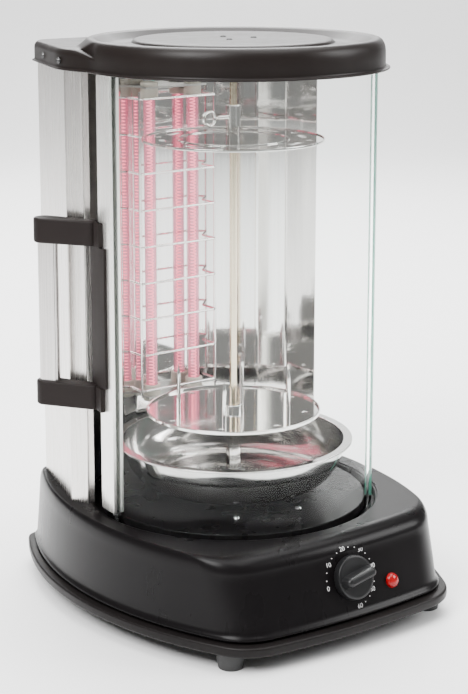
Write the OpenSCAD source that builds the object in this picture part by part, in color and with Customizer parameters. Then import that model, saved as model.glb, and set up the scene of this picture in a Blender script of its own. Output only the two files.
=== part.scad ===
// Vertical rotisserie oven: a black base with the timer, a stainless rear housing with two
// upright heating tubes, a round lid, a curved glass door that slides round the chamber, and a
// turning spit over a drip tray. Millimetres, +Z up, the controls face -Y, and the origin is on
// the floor under the spit.

/* [Base] */
// Height of the feet under the base
foot_h = 14; // [8:1:24]
// Radius of a foot
foot_r = 11; // [7:0.5:14]
// Height of the base from the feet to the platform
base_h = 70; // [62:1:90]
// Height of the band round the bottom of the base
band_h = 8; // [5:0.5:11]
// How far the base's bottom band reaches beyond the glass track at the sides
side_reach = 30; // [27:1:45]
// How far it reaches beyond the glass track in front
front_reach = 48; // [44:1:70]
// How far it reaches beyond the glass track at the back
rear_reach = 48; // [44:1:70]
// Wall of the base shell
shell_wall = 2.5; // [1.8:0.1:3.5]
// Radius of the base's front corners in plan
front_corner_r = 42; // [20:1:55]
// Radius of the base's rear corners in plan
rear_corner_r = 12; // [6:1:16]
// How far the front wall leans back over its height
front_lean = 12.5; // [6:0.5:18]

/* [Glass track] */
// Radius of the raised platform inside the glass
platform_r = 109.5; // [100:0.5:132]
// Gap from the platform's wall to the glass
glass_gap = 2; // [1.2:0.1:3]
// Gap from the glass to the outer wall of the slot it runs in
slot_gap = 3; // [2:0.5:4]
// Depth of that slot under the platform
slot_depth = 9; // [6:0.5:12]

/* [Chamber] */
// Height from the platform to the underside of the lid
chamber_h = 354; // [290:1:430]
// Thickness of the housing's sheet
sheet_t = 1; // [0.7:0.1:1.5]
// Gap from the faceted reflector's edges to the glass track
reflector_gap = 3.5; // [3:0.5:6]
// Thickness of the reflector
reflector_t = 0.8; // [0.5:0.1:1.2]
// Radius of a heating tube
tube_r = 5; // [4:0.5:6.5]
// Distance of the heating tubes in from the reflector's edges
tube_inset = 14; // [12:0.5:17]

/* [Door] */
// Thickness of the glass
glass_t = 4; // [3:0.5:5]
// Angle covered by the glass
glass_arc = 156; // [120:1:160]
// Angle of the glass's free edge
glass_edge = -32; // [-45:1:-20]
// Width of the upright frame, as an angle
frame_arc = 10; // [8:0.5:11]
// How far the handle reaches out from the frame
handle_reach = 61; // [48:1:62]
// Height of a handle bracket
bracket_h = 20; // [14:1:28]
// Height of the lower bracket above the platform
bracket_z = 85; // [60:1:110]
// Height between the two brackets
grip_h = 113; // [80:1:150]

/* [Lid] */
// How far the lid's flange reaches beyond the glass
lid_overhang = 9.5; // [8.5:0.5:14]
// Height of the lid above its flange
lid_h = 24; // [18:1:32]
// Height of the lid's rear part above the flange
tail_h = 17; // [12:1:20]
// Thickness of the lid's sheet
lid_t = 1.2; // [0.8:0.1:2]

/* [Spit] */
// Radius of the spit's rod
rod_r = 3; // [2.5:0.1:4]
// Radius of the lower plate
lower_plate_r = 72; // [60:1:76]
// Height of the lower plate above the platform
lower_plate_z = 69; // [62:1:100]
// Radius of the upper plate
top_plate_r = 74; // [60:1:76]
// Height of the upper plate above the platform
top_plate_z = 295; // [240:1:298]
// Radius of the drip tray's rim
tray_r = 99; // [85:0.5:100]
// Height of the tray's rim above the platform
tray_z = 47.5; // [36:0.5:54]
// Height of the drive coupling's flange above the platform
coupling_z = 9; // [7:0.5:12]

/* [Controls] */
// Radius of the timer's knob
knob_r = 17.5; // [13:0.5:20]
// Height of the knob on the front wall, above the floor
knob_z = 53; // [48:1:56]
// Sideways place of the knob
knob_x = 4; // [-10:1:10]
// Sideways place of the lamp
lamp_x = 44; // [34:1:56]
// Height of the lamp on the front wall, above the floor
lamp_z = 42; // [36:1:54]
// Radius of the lamp's lens
lamp_r = 6; // [4:0.5:8]

/* [Clearances] */
// Clearance of a running fit, on the radius
running = 0.05; // [0.02:0.01:0.1]
// Clearance between pieces that only pass each other
loose = 0.3; // [0.2:0.05:0.5]

/* [Hidden] */
$fn = 96;
tiny = 0.01;

platform_z = foot_h + base_h;
ceiling_z = platform_z + chamber_h;
crest_z = ceiling_z + lid_h;
band_top = foot_h + band_h;
lip_z = band_top + 1.5;
wall_low_z = lip_z + 7;
wall_high_z = platform_z - 14;

glass_in_r = platform_r + glass_gap;
glass_out_r = glass_in_r + glass_t;
slot_out_r = glass_out_r + slot_gap;
slot_z = platform_z - slot_depth;
step_r = slot_out_r + 1.5;
base_half_w = step_r + side_reach;
base_front = step_r + front_reach;
base_rear = step_r + rear_reach;
reflector_r = platform_r - reflector_gap;
lid_r = glass_out_r + lid_overhang;
glass_low = slot_z + 2;
guide_h = 8;
glass_high = ceiling_z + guide_h - 3;
glass_start = glass_edge - glass_arc;

frame_in_r = glass_in_r - 2.7;
frame_out_r = glass_out_r + 3;
frame_start = glass_start - 1.5;
frame_low = platform_z + 3.5;
frame_high = ceiling_z - 1;

lower_bracket_z = platform_z + bracket_z;
upper_bracket_z = lower_bracket_z + bracket_h + grip_h;
tenon = 6;

// ---- plan outlines -------------------------------------------------------------------------

side_arc_r = 300;
widest_y = 5;
front_arc_r = 650;
rear_arc_r = 600;

// Where circles about a and b meet, on the right of the line from a to b.
function meet(a, ra, b, rb) =
    let (
        d = b - a,
        l = norm(d),
        k = (ra * ra - rb * rb + l * l) / (2 * l),
        h = sqrt(ra * ra - k * k)
    ) a + d * k / l + [d[1], -d[0]] * h / l;
function direction(v) = atan2(v[1], v[0]);
function arc(c, r, from, to, steps) =
    [for (i = [0:steps - 1]) let (a = from + (to - from) * i / steps) c + r * [cos(a), sin(a)]];

// The base seen from above, right half, front to rear: a flat front arc, a wide corner, a long
// side arc, a tighter corner and a flat rear arc, each tangent to the next.
function half_outline(half_w, front, rear) =
    let (
        side_c = [half_w - side_arc_r, widest_y],
        front_c = [0, front_arc_r - front],
        rear_c = [0, rear - rear_arc_r],
        front_k = meet(side_c, side_arc_r - front_corner_r, front_c, front_arc_r - front_corner_r),
        rear_k = meet(rear_c, rear_arc_r - rear_corner_r, side_c, side_arc_r - rear_corner_r),
        a = direction(front_k - front_c),
        b = direction(front_k - side_c),
        c = direction(rear_k - side_c),
        d = direction(rear_k - rear_c)
    ) concat(
        arc(front_c, front_arc_r, -90, a, 6), arc(front_k, front_corner_r, a, b, 8),
        arc(side_c, side_arc_r, b, c, 10), arc(rear_k, rear_corner_r, c, d, 5),
        arc(rear_c, rear_arc_r, d, 90, 6), [[0, rear]]
    );
function outline(half_w, front, rear) =
    let (right = half_outline(half_w, front, rear))
        concat(right, [for (i = [len(right) - 2:-1:1]) [-right[i][0], right[i][1]]]);
function level(z, half_w, front, rear) = [for (p = outline(half_w, front, rear)) [p[0], p[1], z]];

module plan(half_w, front, rear) {
    polygon(outline(half_w, front, rear));
}

// A closed solid through a stack of outlines, lowest first.
module loft(levels) {
    n = len(levels[0]);
    top = n * (len(levels) - 1);
    sides = [for (j = [0:len(levels) - 2], i = [0:n - 1])
        let (low = j * n + i, next = j * n + (i + 1) % n)
            each [[low, low + n, next + n], [low, next + n, next]]];
    polyhedron(
        points = [for (ring = levels) each ring],
        faces = concat([[for (i = [0:n - 1]) i]], [[for (i = [n - 1:-1:0]) top + i]], sides)
    );
}

// ---- sheet metal paths ---------------------------------------------------------------------

function unit(v) = v / norm(v);
function side_of(a, b) = let (d = unit(b - a)) [-d[1], d[0]];

// A path's point moved sideways by t, mitred between its two neighbours.
function mitred(path, i, t) =
    let (
        before = i > 0 ? side_of(path[i - 1], path[i]) : side_of(path[0], path[1]),
        after = i < len(path) - 1 ? side_of(path[i], path[i + 1]) : before,
        mean = unit(before + after)
    ) path[i] + mean * t / (mean * before);

function moved(path, t) = [for (i = [0:len(path) - 1]) mitred(path, i, t)];
function reversed(path) = [for (i = [len(path) - 1:-1:0]) path[i]];
function mirrored(path) = [for (p = path) [-p[0], p[1]]];

// A bent strip of sheet, t thick on the left of its path.
module bent_sheet(path, t, h) {
    linear_extrude(h) polygon(concat(path, reversed(moved(path, t))));
}

module ring(outer, inner, h) {
    difference() {
        cylinder(r = outer, h = h);
        translate([0, 0, -1]) cylinder(r = inner, h = h + 2);
    }
}

// A block of a ring, from one angle over an arc.
module sector(outer, inner, start, arc, h) {
    rotate([0, 0, start]) rotate_extrude(angle = arc) translate([inner, 0]) square([outer - inner, h]);
}

module pan_head_screw(r, head_h, shank_r, shank_l) {
    difference() {
        cylinder(r1 = r, r2 = r * 0.72, h = head_h, $fn = 32);
        for (a = [0, 90]) rotate([0, 0, a]) translate([-r * 0.5, -0.4, head_h * 0.5]) cube([r, 0.8, head_h]);
    }
    translate([0, 0, -shank_l]) cylinder(r = shank_r, h = shank_l, $fn = 24);
}

// ---- base ----------------------------------------------------------------------------------

lip_inset = 6.5;
wall_inset = 9;
wall_high_inset = 12.5;
fillet_steps = 6;
front_low = base_front - 11;
front_high = front_low - front_lean;
shoulder_front = 16;
shoulder_side = 4;

// The shell's levels from the lip up the leaning wall and over a shoulder, which is rounder at
// the front than at the sides, to the flat top. Each is inset from the outer face.
module shell_solid(inset) {
    drop = 0.3 * inset;
    rise = platform_z - wall_high_z - inset + drop;
    loft(concat(
        [
            level(lip_z - (inset > 0 ? 1 : 0), base_half_w - lip_inset - inset, front_low + 3.5 - inset,
                base_rear - lip_inset - inset),
            level(wall_low_z, base_half_w - wall_inset - inset, front_low - inset, base_rear - wall_inset - inset)
        ],
        [for (i = [0:fillet_steps]) let (a = 90 * i / fillet_steps) level(
            wall_high_z - drop + rise * sin(a),
            base_half_w - wall_high_inset + shoulder_side * (cos(a) - 1) - inset,
            front_high + shoulder_front * (cos(a) - 1) - inset,
            base_rear - wall_inset + shoulder_side * (cos(a) - 1) - inset
        )]
    ));
}

front_tilt = atan2(front_lean, wall_high_z - wall_low_z);
function front_y(z) = -front_low + front_lean * (z - wall_low_z) / (wall_high_z - wall_low_z);

// Puts children on the front wall, with +Z out of it.
module on_front(x, z) {
    turn = asin(x / front_arc_r);
    translate([x, front_y(z) + front_arc_r * (1 - cos(turn)), z])
        rotate([0, 0, turn]) rotate([90 - front_tilt, 0, 0]) children();
}

track_floor_t = 2;
shelf_in_r = platform_r - 11.5;
bushing_r = 7;
lead_r = 3.6;
bushing_z = wall_low_z + bushing_r + 2.5;
timer_neck_r = 5;
lamp_body_r = lamp_r - 0.8;

module base_shell() {
    color("#1c1a1b") difference() {
        union() {
            difference() {
                shell_solid(0);
                shell_solid(shell_wall);
            }
            translate([0, 0, slot_z - track_floor_t])
                ring(step_r + 2, shelf_in_r, platform_z - slot_z + track_floor_t - 0.5);
        }
        translate([0, 0, slot_z]) cylinder(r = slot_out_r, h = slot_depth + 5);
        translate([0, 0, platform_z - 1.5]) cylinder(r = step_r, h = 5);
        translate([0, 0, slot_z - 20]) cylinder(r = shelf_in_r, h = 40);
        on_front(knob_x, knob_z) translate([0, 0, -10]) cylinder(r = timer_neck_r + loose, h = 20);
        on_front(lamp_x, lamp_z) translate([0, 0, -10]) cylinder(r = lamp_body_r + loose, h = 20);
        translate([0, base_rear - 30, bushing_z]) rotate([-90, 0, 0]) cylinder(r = bushing_r - 1, h = 40);
    }
}

plate_t = 2;
foot_places = [
    [-(base_half_w - 51), -(base_front - 35)], [base_half_w - 51, -(base_front - 35)],
    [-(base_half_w - 60), base_rear - 32], [base_half_w - 60, base_rear - 32]
];

module bottom_plate() {
    color("#232122") difference() {
        union() {
            translate([0, 0, foot_h]) linear_extrude(band_h) plan(base_half_w, base_front, base_rear);
            translate([0, 0, band_top - tiny]) linear_extrude(lip_z - band_top + tiny)
                plan(base_half_w - lip_inset - 2, front_low + 1, base_rear - lip_inset - 2);
        }
        translate([0, 0, foot_h + plate_t]) linear_extrude(band_h + 10)
            plan(base_half_w - 14, base_front - 20, base_rear - 14);
        for (p = foot_places)
            translate([p[0], p[1], foot_h - 1]) cylinder(r = 2 + loose, h = foot_screw_top + 2 - foot_h, $fn = 32);
        for (row = [-3:3], side = [-1, 1])
            translate([row * 12 - 2, side * 62 - 20, foot_h - 1]) cube([4, 40, plate_t + 2]);
        for (p = base_screw_places) translate([p[0], p[1], foot_h - 1]) cylinder(r = 1.6, h = band_h + 8, $fn = 32);
    }
}

base_screw_places = [
    [-(base_half_w - 11), 10], [base_half_w - 11, 10], [-70, -(base_front - 13)],
    [70, -(base_front - 13)], [-70, base_rear - 13], [70, base_rear - 13]
];

// Short screws up through the band that hold the shell's lip.
module base_screws() {
    color("#3a3a3c") for (p = base_screw_places)
        translate([p[0], p[1], foot_h]) mirror([0, 0, 1]) pan_head_screw(2.8, 1.6, 1.4, band_h);
}

module feet() {
    color("#121212") for (p = foot_places) translate([p[0], p[1], 0]) difference() {
        union() {
            cylinder(r1 = foot_r * 0.86, r2 = foot_r, h = foot_h * 0.55);
            translate([0, 0, foot_h * 0.55]) cylinder(r = foot_r, h = foot_h * 0.45);
        }
        translate([0, 0, -1]) cylinder(r = 4, h = 4 + 1, $fn = 32);
        translate([0, 0, -1]) cylinder(r = 2 + loose, h = foot_h + 2, $fn = 32);
    }
}

// The screws stand in a pocket under each foot and end a little above the plate.
foot_screw_low = 2.2;
foot_screw_top = foot_h + plate_t + 4;

module foot_screws() {
    color("#b9b9bb") for (p = foot_places) translate([p[0], p[1], foot_screw_low]) {
        cylinder(r = 3.4, h = 1.8, $fn = 32);
        cylinder(r = 2, h = foot_screw_top - foot_screw_low, $fn = 32);
    }
}

module platform_plate() {
    color("#171516") difference() {
        union() {
            translate([0, 0, platform_z - 1.6]) cylinder(r = platform_r, h = 1.6);
            translate([0, 0, slot_z]) ring(platform_r, platform_r - 1.5, slot_depth);
        }
        translate([0, 0, platform_z - 5]) cylinder(r = shaft_r + loose, h = 10, $fn = 48);
        for (a = platform_screw_angles)
            rotate([0, 0, a]) translate([platform_screw_r, 0, platform_z - 5]) cylinder(r = 1.6, h = 10, $fn = 32);
    }
}

platform_screw_r = 70;
platform_screw_angles = [-124, -77, 56, 103];

module platform_screws() {
    color("#a9a9ab") for (a = platform_screw_angles)
        rotate([0, 0, a]) translate([platform_screw_r, 0, platform_z]) pan_head_screw(2.8, 1.4, 1.4, 5);
}

// The sleeve in the base's rear wall that a mains lead passes through.
module cable_bushing() {
    shank_h = 9.5;
    head_h = 6;
    color("#161616") translate([0, base_rear - wall_inset - shank_h, bushing_z]) rotate([-90, 0, 0])
        difference() {
            union() {
                cylinder(r = bushing_r - 1 - loose, h = shank_h + 0.2, $fn = 48);
                translate([0, 0, shank_h + 0.1]) cylinder(r1 = bushing_r + 1, r2 = bushing_r - 2, h = head_h, $fn = 48);
            }
            translate([0, 0, -1]) cylinder(r = lead_r, h = shank_h + head_h + 2, $fn = 48);
        }
}

// ---- rear housing --------------------------------------------------------------------------

// The housing seen from above: its front edge beside the glass, a crease, and a cut-off rear corner.
housing_front = [step_r - 3, step_r - 79];
housing_crease = [step_r + 4, step_r - 65];
housing_corner = [step_r - 22, step_r + 22];
housing_back = step_r + 28;
corner_cut = [step_r - 29, housing_back];
tab_w = 13;
rear_screw_x = step_r - 37;
panel_path = [
    housing_front + [-6.5, 0.5], housing_front, housing_crease, housing_corner, corner_cut, corner_cut - [tab_w, 0]
];

module side_panel() {
    translate([0, 0, platform_z]) difference() {
        bent_sheet(panel_path, sheet_t, chamber_h);
        for (z = rear_screw_heights) translate([rear_screw_x, housing_back + 2, z]) rotate([90, 0, 0])
            cylinder(r = 1.5, h = 6, $fn = 32);
    }
}

module side_panel_right() { color("#c9c4bd") side_panel(); }
module side_panel_left() { color("#c9c4bd") mirror([1, 0, 0]) side_panel(); }

rear_screw_heights = [24, chamber_h / 2, chamber_h - 24];

// The rear wall, with three rows of vents.
module rear_cover() {
    slots = 11;
    half_w = rear_screw_x + 7;
    color("#b5b1ab") translate([0, housing_back + sheet_t, platform_z]) rotate([90, 0, 0]) difference() {
        translate([-half_w, 2, 0]) cube([2 * half_w, chamber_h - 4, sheet_t]);
        for (row = [0.16, 0.42, 0.68], i = [0:slots - 1])
            translate([(i - (slots - 1) / 2) * 11 - 2, chamber_h * row, -1]) cube([4, 42, sheet_t + 2]);
        for (z = rear_screw_heights, s = [-1, 1])
            translate([s * rear_screw_x, z, -1]) cylinder(r = 1.5, h = 4, $fn = 32);
    }
}

module rear_cover_screws() {
    color("#8d8d90") for (z = rear_screw_heights, s = [-1, 1])
        translate([s * rear_screw_x, housing_back + sheet_t, platform_z + z]) rotate([-90, 0, 0])
            pan_head_screw(3, 1.5, 1.4, 6);
}

// A curved sheet behind the glass's path, between the chamber and the housing's wiring.
module heat_shield() {
    start = atan2(housing_front[1], housing_front[0]) + 4;
    color("#bfbcb7") translate([0, 0, platform_z])
        sector(step_r + 1.1, step_r + 0.3, start, 180 - 2 * start, chamber_h);
}

// ---- heating -------------------------------------------------------------------------------

// One half of the reflector's facets, as angles from the chamber's right side to its back.
facet_angles = [12, 28, 43, 63, 73];
reflector_angles = concat(facet_angles, [for (a = reversed(facet_angles)) 180 - a]);
reflector_path = [for (a = reflector_angles) reflector_r * [cos(a), sin(a)]];

module reflector() {
    color("#d9d6d2") translate([0, 0, platform_z]) difference() {
        bent_sheet(reflector_path, reflector_t, chamber_h);
        for (s = [-1, 1], z = [tube_low - platform_z - 8, tube_high - platform_z + 8])
            translate([s * tube_x, reflector_r + 10, z]) rotate([90, 0, 0]) cylinder(r = 1.6, h = 30, $fn = 32);
    }
}

tube_x = 22;
tube_reach = reflector_r - tube_inset;
tube_y = sqrt(tube_reach * tube_reach - tube_x * tube_x);
cap_wall = 2.5;
cap_pocket = 6;
reflector_back_y = reflector_r * sin(73) - reflector_t;
tube_low = platform_z + tray_z + 22;
tube_high = ceiling_z - 26;
cap_h = 14;

module heating_tubes() {
    color("#e8b7c0") for (s = [-1, 1]) translate([s * tube_x, tube_y, tube_low]) ring(tube_r, tube_r - 1, tube_high - tube_low);
}

module heating_coils() {
    color("#c8505a") for (s = [-1, 1]) translate([s * tube_x, tube_y, tube_low + 1])
        cylinder(r = tube_r * 0.5, h = tube_high - tube_low - 2, $fn = 32);
}

// Ceramic ends, with a pocket for the tube.
module heater_caps() {
    color("#e9e4da") for (s = [-1, 1], end = [0, 1]) translate([s * tube_x, tube_y, end ? tube_high : tube_low])
        mirror([0, 0, end ? 0 : 1]) translate([0, 0, -cap_pocket]) difference() {
            cylinder(r = tube_r + cap_wall, h = cap_h, $fn = 48);
            translate([0, 0, -1]) cylinder(r = tube_r + running, h = cap_pocket + 1, $fn = 48);
        }
}

bracket_t = 1.5;

// A shelf from the reflector's back panel that holds two caps.
module heater_bracket() {
    half_w = tube_x + tube_r + cap_wall + 1;
    near_y = tube_y - tube_r - cap_wall - 1;
    difference() {
        translate([-half_w, near_y, 0]) cube([2 * half_w, reflector_back_y - loose - near_y, bracket_t]);
        for (s = [-1, 1])
            translate([s * tube_x, tube_y, -1]) cylinder(r = tube_r + cap_wall + running, h = bracket_t + 2, $fn = 48);
    }
}

module heater_bracket_top() { color("#bdbab5") translate([0, 0, tube_high + 3]) heater_bracket(); }
module heater_bracket_bottom() { color("#bdbab5") translate([0, 0, tube_low - 3 - bracket_t]) heater_bracket(); }

guard_wire_r = 1;
guard_y = tube_y - tube_r - 6;
guard_half_w = tube_x + 16;

// The narrow facets beside the back panel, as the depth of their inner face at a sideways place.
function narrow_facet_y(x) =
    let (
        a = reflector_r * [cos(63), sin(63)],
        b = reflector_r * [cos(73), sin(73)],
        slope = (b[1] - a[1]) / (b[0] - a[0])
    ) a[1] + slope * (x - a[0]) - reflector_t * sqrt(1 + slope * slope);
guard_leg = narrow_facet_y(guard_half_w + guard_wire_r) - guard_y;

// Bent rods that keep the food off the tubes, welded to two uprights.
module heater_guard() {
    rows = 9;
    low = tube_low - 2;
    high = tube_high + 1;
    color("#cfcdc9") {
        for (s = [-1, 1]) translate([s * guard_half_w, guard_y, low]) cylinder(r = guard_wire_r, h = high - low, $fn = 24);
        for (i = [0:rows - 1])
            translate([-guard_half_w, guard_y, low + cap_pocket + i * (high - low - 2 * cap_pocket) / (rows - 1)]) {
                rotate([0, 90, 0]) cylinder(r = guard_wire_r, h = 2 * guard_half_w, $fn = 24);
                for (x = [0, 2 * guard_half_w]) translate([x, 0, 0]) rotate([-90, 0, 0])
                    cylinder(r = guard_wire_r, h = guard_leg, $fn = 24);
            }
    }
}

// ---- lid -----------------------------------------------------------------------------------

skirt_r = lid_r - 3.5;
crest_r = lid_r - 11;
plateau_r = lid_r - 46;
moat_r = lid_r - 30;
lip_w = 2.2;
lip_t = 1.4;
tail_gap = 0.8;
tail_path = moved([housing_front - [0, 16], housing_crease, housing_corner, corner_cut, [0, housing_back]],
    -tail_gap - lid_t - sheet_t);

module lid_profile(t) {
    polygon([
        [0, -1], [skirt_r - t, -1], [skirt_r - t, lid_h * 0.55], [skirt_r - t - 1.6, lid_h * 0.8 - t],
        [crest_r + 3 - t * 0.4, lid_h - 0.7 - t], [crest_r - t * 0.2, lid_h - t], [crest_r - 3, lid_h - 0.6 - t],
        [moat_r + 6, lid_h - 7 - t], [moat_r, lid_h - 8 - t], [plateau_r + 5, lid_h - 7 - t],
        [plateau_r, lid_h - 1.6 - t], [plateau_r - 3, lid_h - 1 - t], [0, lid_h - 1 - t]
    ]);
}

module lid_body(t) {
    rotate_extrude() lid_profile(t);
}

// The tail seen from above, t inside its outer face.
module tail_plan(t) {
    half = concat([[0, 0]], moved(tail_path, t));
    polygon(half);
    mirror([1, 0]) polygon(half);
}

module tail_solid(t) {
    translate([0, 0, -1]) linear_extrude(tail_h + 1 - t) tail_plan(t);
}

lid_screw_places = [[-14, -14], [14, -8], [0, 14]];
tail_screw_places = [0.06, 0.62];
tail_screw_z = 7;
function tail_point(k) = tail_path[1] + (tail_path[2] - tail_path[1]) * k;
tail_side = side_of(tail_path[1], tail_path[2]);
tail_turn = atan2(tail_side[1], tail_side[0]) + 180;

module lid() {
    color("#262324") translate([0, 0, ceiling_z]) difference() {
        union() {
            difference() {
                union() {
                    lid_body(0);
                    tail_solid(0);
                }
                lid_body(lid_t);
                tail_solid(lid_t);
            }
            cylinder(r = lid_r, h = lip_t);
            linear_extrude(lip_t) tail_plan(-lip_w);
        }
        translate([0, 0, -1]) cylinder(r = skirt_r - lid_t, h = 3);
        translate([0, 0, -1]) linear_extrude(3) tail_plan(lid_t);
        translate([0, 0, -10]) linear_extrude(10) square(6 * lid_r, center = true);
        for (p = lid_screw_places) translate([p[0], p[1], 0]) cylinder(r = 1.7, h = 60, $fn = 32);
        for (k = tail_screw_places, m = [0, 1]) mirror([m, 0, 0]) translate(concat(tail_point(k), [tail_screw_z]))
            rotate([0, 0, tail_turn]) rotate([0, 90, 0]) translate([0, 0, -6]) cylinder(r = 1.7, h = 12, $fn = 32);
    }
}

module lid_screws() {
    color("#2f2d2e") for (p = lid_screw_places)
        translate([p[0], p[1], crest_z - 1]) pan_head_screw(2.6, 1, 1.5, 9);
}

module lid_side_screws() {
    color("#c3c3c5") for (k = tail_screw_places, m = [0, 1]) mirror([m, 0, 0])
        translate(concat(tail_point(k), [ceiling_z + tail_screw_z])) rotate([0, 0, tail_turn]) rotate([0, 90, 0])
            pan_head_screw(2.8, 1.4, 1.5, 2.2);
}

// The rod stands in the bearing and rises through it until its foot is out of the socket.
socket_d = 1.8;
boss_h = 10;
spit_lift = socket_d + boss_h + 0.7;
rod_top = ceiling_z;
bearing_r = rod_r + 5;
bearing_low = ceiling_z - 10;
bore_top = rod_top + spit_lift + 1;
bearing_top = bore_top + 3;

// The chamber's ceiling, with the raised channel that the glass's top edge runs in.
module ceiling_plate() {
    in_r = glass_in_r - 1.2;
    out_r = glass_out_r + 1.2;
    edge_r = skirt_r - lid_t - loose;
    color("#cfccc8") translate([0, 0, ceiling_z]) rotate_extrude() polygon([
        [bearing_r + running, 0], [in_r, 0], [in_r, guide_h], [out_r, guide_h], [out_r, 0],
        [edge_r, 0], [edge_r, 1], [out_r + 1, 1], [out_r + 1, guide_h + 1],
        [in_r - 1, guide_h + 1], [in_r - 1, 1], [bearing_r + running, 1]
    ]);
}

module top_bearing() {
    color("#c8a86a") difference() {
        union() {
            translate([0, 0, bearing_low]) cylinder(r = bearing_r, h = bearing_top - bearing_low, $fn = 48);
            translate([0, 0, ceiling_z - 2]) cylinder(r = bearing_r + 5, h = 2, $fn = 48);
        }
        translate([0, 0, bearing_low - 1]) cylinder(r = rod_r + running, h = bore_top - bearing_low + 1, $fn = 48);
    }
}

// ---- door ----------------------------------------------------------------------------------

// Curved glass, with its two corners cut away in the frame to make room for the guide pins.
module door_glass() {
    color("#9fd0c4", 0.4) difference() {
        translate([0, 0, glass_low])
            sector(glass_out_r, glass_in_r, glass_start, glass_arc, glass_high - glass_low);
        for (z = [frame_low - 60, frame_high - 1])
            translate([0, 0, z]) sector(glass_out_r + 1, glass_in_r - 1, frame_start, frame_arc + 1, 61);
    }
}

// An upright channel that grips the glass's left edge.
module door_frame() {
    color("#e3e1dd") difference() {
        translate([0, 0, frame_low])
            sector(frame_out_r, frame_in_r, frame_start, frame_arc, frame_high - frame_low);
        translate([0, 0, frame_low + 1])
            sector(glass_out_r + 0.1, glass_in_r - 0.1, glass_start - 0.1, 40, frame_high - frame_low - 2);
        for (z = handle_screw_heights) rotate([0, 0, handle_angle]) translate([glass_out_r - 1, 0, z])
            rotate([0, 90, 0]) cylinder(r = 1.6, h = 8, $fn = 32);
    }
}

pin_r = 2.2;
pin_angle = frame_start + frame_arc - 1.8;
pin_reach = (glass_in_r + glass_out_r) / 2;

// One pin under the frame with its nut, in the base's slot, and one above it, in the ceiling's.
module door_guides() {
    color("#b8b8b6") rotate([0, 0, pin_angle]) translate([pin_reach, 0, 0]) {
        translate([0, 0, glass_low]) cylinder(r = pin_r, h = frame_low - glass_low, $fn = 32);
        translate([0, 0, frame_low - 2.6]) cylinder(r = pin_r + 1.5, h = 2.6, $fn = 6);
        translate([0, 0, frame_high]) cylinder(r = pin_r, h = glass_high - frame_high, $fn = 32);
    }
}

handle_angle = frame_start + 2.5;
handle_turn = -48.2;
pad_arc = 4.5;
arm_root_r = 6;
arm_end_r = 8.5;
handle_screw_heights = [
    lower_bracket_z + 6, lower_bracket_z + bracket_h - 6, upper_bracket_z + 6, upper_bracket_z + bracket_h - 6
];

// Puts children at the frame's outer face, with +X along the swept-back arm.
module on_handle() {
    rotate([0, 0, handle_angle]) translate([frame_out_r, 0, 0]) rotate([0, 0, handle_turn]) children();
}

module grip_outline(extra) {
    hull() for (x = [handle_reach - 16, handle_reach - 7.5])
        translate([x, -arm_end_r + 1]) circle(r = 4.4 + extra, $fn = 48);
}

module bracket_outline() {
    hull() {
        translate([6, -arm_root_r]) circle(r = arm_root_r, $fn = 48);
        translate([handle_reach - arm_end_r, -arm_end_r]) circle(r = arm_end_r, $fn = 48);
    }
}

module handle_bracket(z, pocket_z) {
    color("#201d1d") difference() {
        union() {
            translate([0, 0, z]) sector(frame_out_r + 4, frame_out_r, frame_start, pad_arc, bracket_h);
            on_handle() translate([0, 0, z]) linear_extrude(bracket_h) bracket_outline();
        }
        translate([0, 0, z - 1]) cylinder(r = frame_out_r, h = bracket_h + 2);
        on_handle() translate([0, 0, pocket_z]) linear_extrude(tenon + 1) grip_outline(running);
        for (h = [6, bracket_h - 6]) rotate([0, 0, handle_angle]) translate([frame_out_r - 1, 0, z + h])
            rotate([0, 90, 0]) cylinder(r = 1.3, h = 6, $fn = 32);
    }
}

module handle_bracket_lower() { handle_bracket(lower_bracket_z, lower_bracket_z + bracket_h - tenon); }
module handle_bracket_upper() { handle_bracket(upper_bracket_z, upper_bracket_z - 1); }

back_plate_t = 2.5;
back_plate_over = 5.5;
back_plate_arc = 12.5;

// A dark cover over the frame's outer face between the two brackets, wider than the frame on the housing side.
module handle_back_plate() {
    low = lower_bracket_z + bracket_h;
    color("#1b191b") translate([0, 0, low])
        sector(frame_out_r + back_plate_t, frame_out_r, frame_start - back_plate_over, back_plate_arc,
            upper_bracket_z - low);
}

module handle_bar() {
    low = lower_bracket_z + bracket_h - tenon + 0.2;
    high = upper_bracket_z + tenon - 0.2;
    color("#dcdad6") on_handle() translate([0, 0, low]) linear_extrude(high - low) grip_outline(0);
}

// Screws from inside the channel into the brackets, beside the glass.
module handle_screws() {
    color("#a5a5a8") for (z = handle_screw_heights) rotate([0, 0, handle_angle])
        translate([glass_out_r + 0.4, 0, z]) rotate([0, 90, 0]) cylinder(r = 1.25, h = 6, $fn = 24);
}

// ---- drive and spit ------------------------------------------------------------------------

shaft_r = 3.5;
motor_r = 25;
motor_h = 18;
strap_t = 1.5;
motor_top = slot_z - track_floor_t - strap_t;
coupling_top = platform_z + coupling_z;
spit_foot_w = 2 * rod_r + 1;
boss_w = spit_foot_w + 7;

// A strap across the shelf's underside that carries the motor.
module motor_bracket() {
    color("#a9a6a2") translate([0, 0, motor_top]) difference() {
        intersection() {
            translate([-motor_r, -2 * platform_r, 0]) cube([2 * motor_r, 4 * platform_r, strap_t]);
            cylinder(r = platform_r - 1.5, h = strap_t);
        }
        translate([0, 0, -1]) cylinder(r = shaft_r + 1, h = 4, $fn = 48);
        for (a = [45:90:315]) rotate([0, 0, a]) translate([motor_r - 4, 0, -1]) cylinder(r = 1.6, h = 4, $fn = 32);
    }
}

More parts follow.
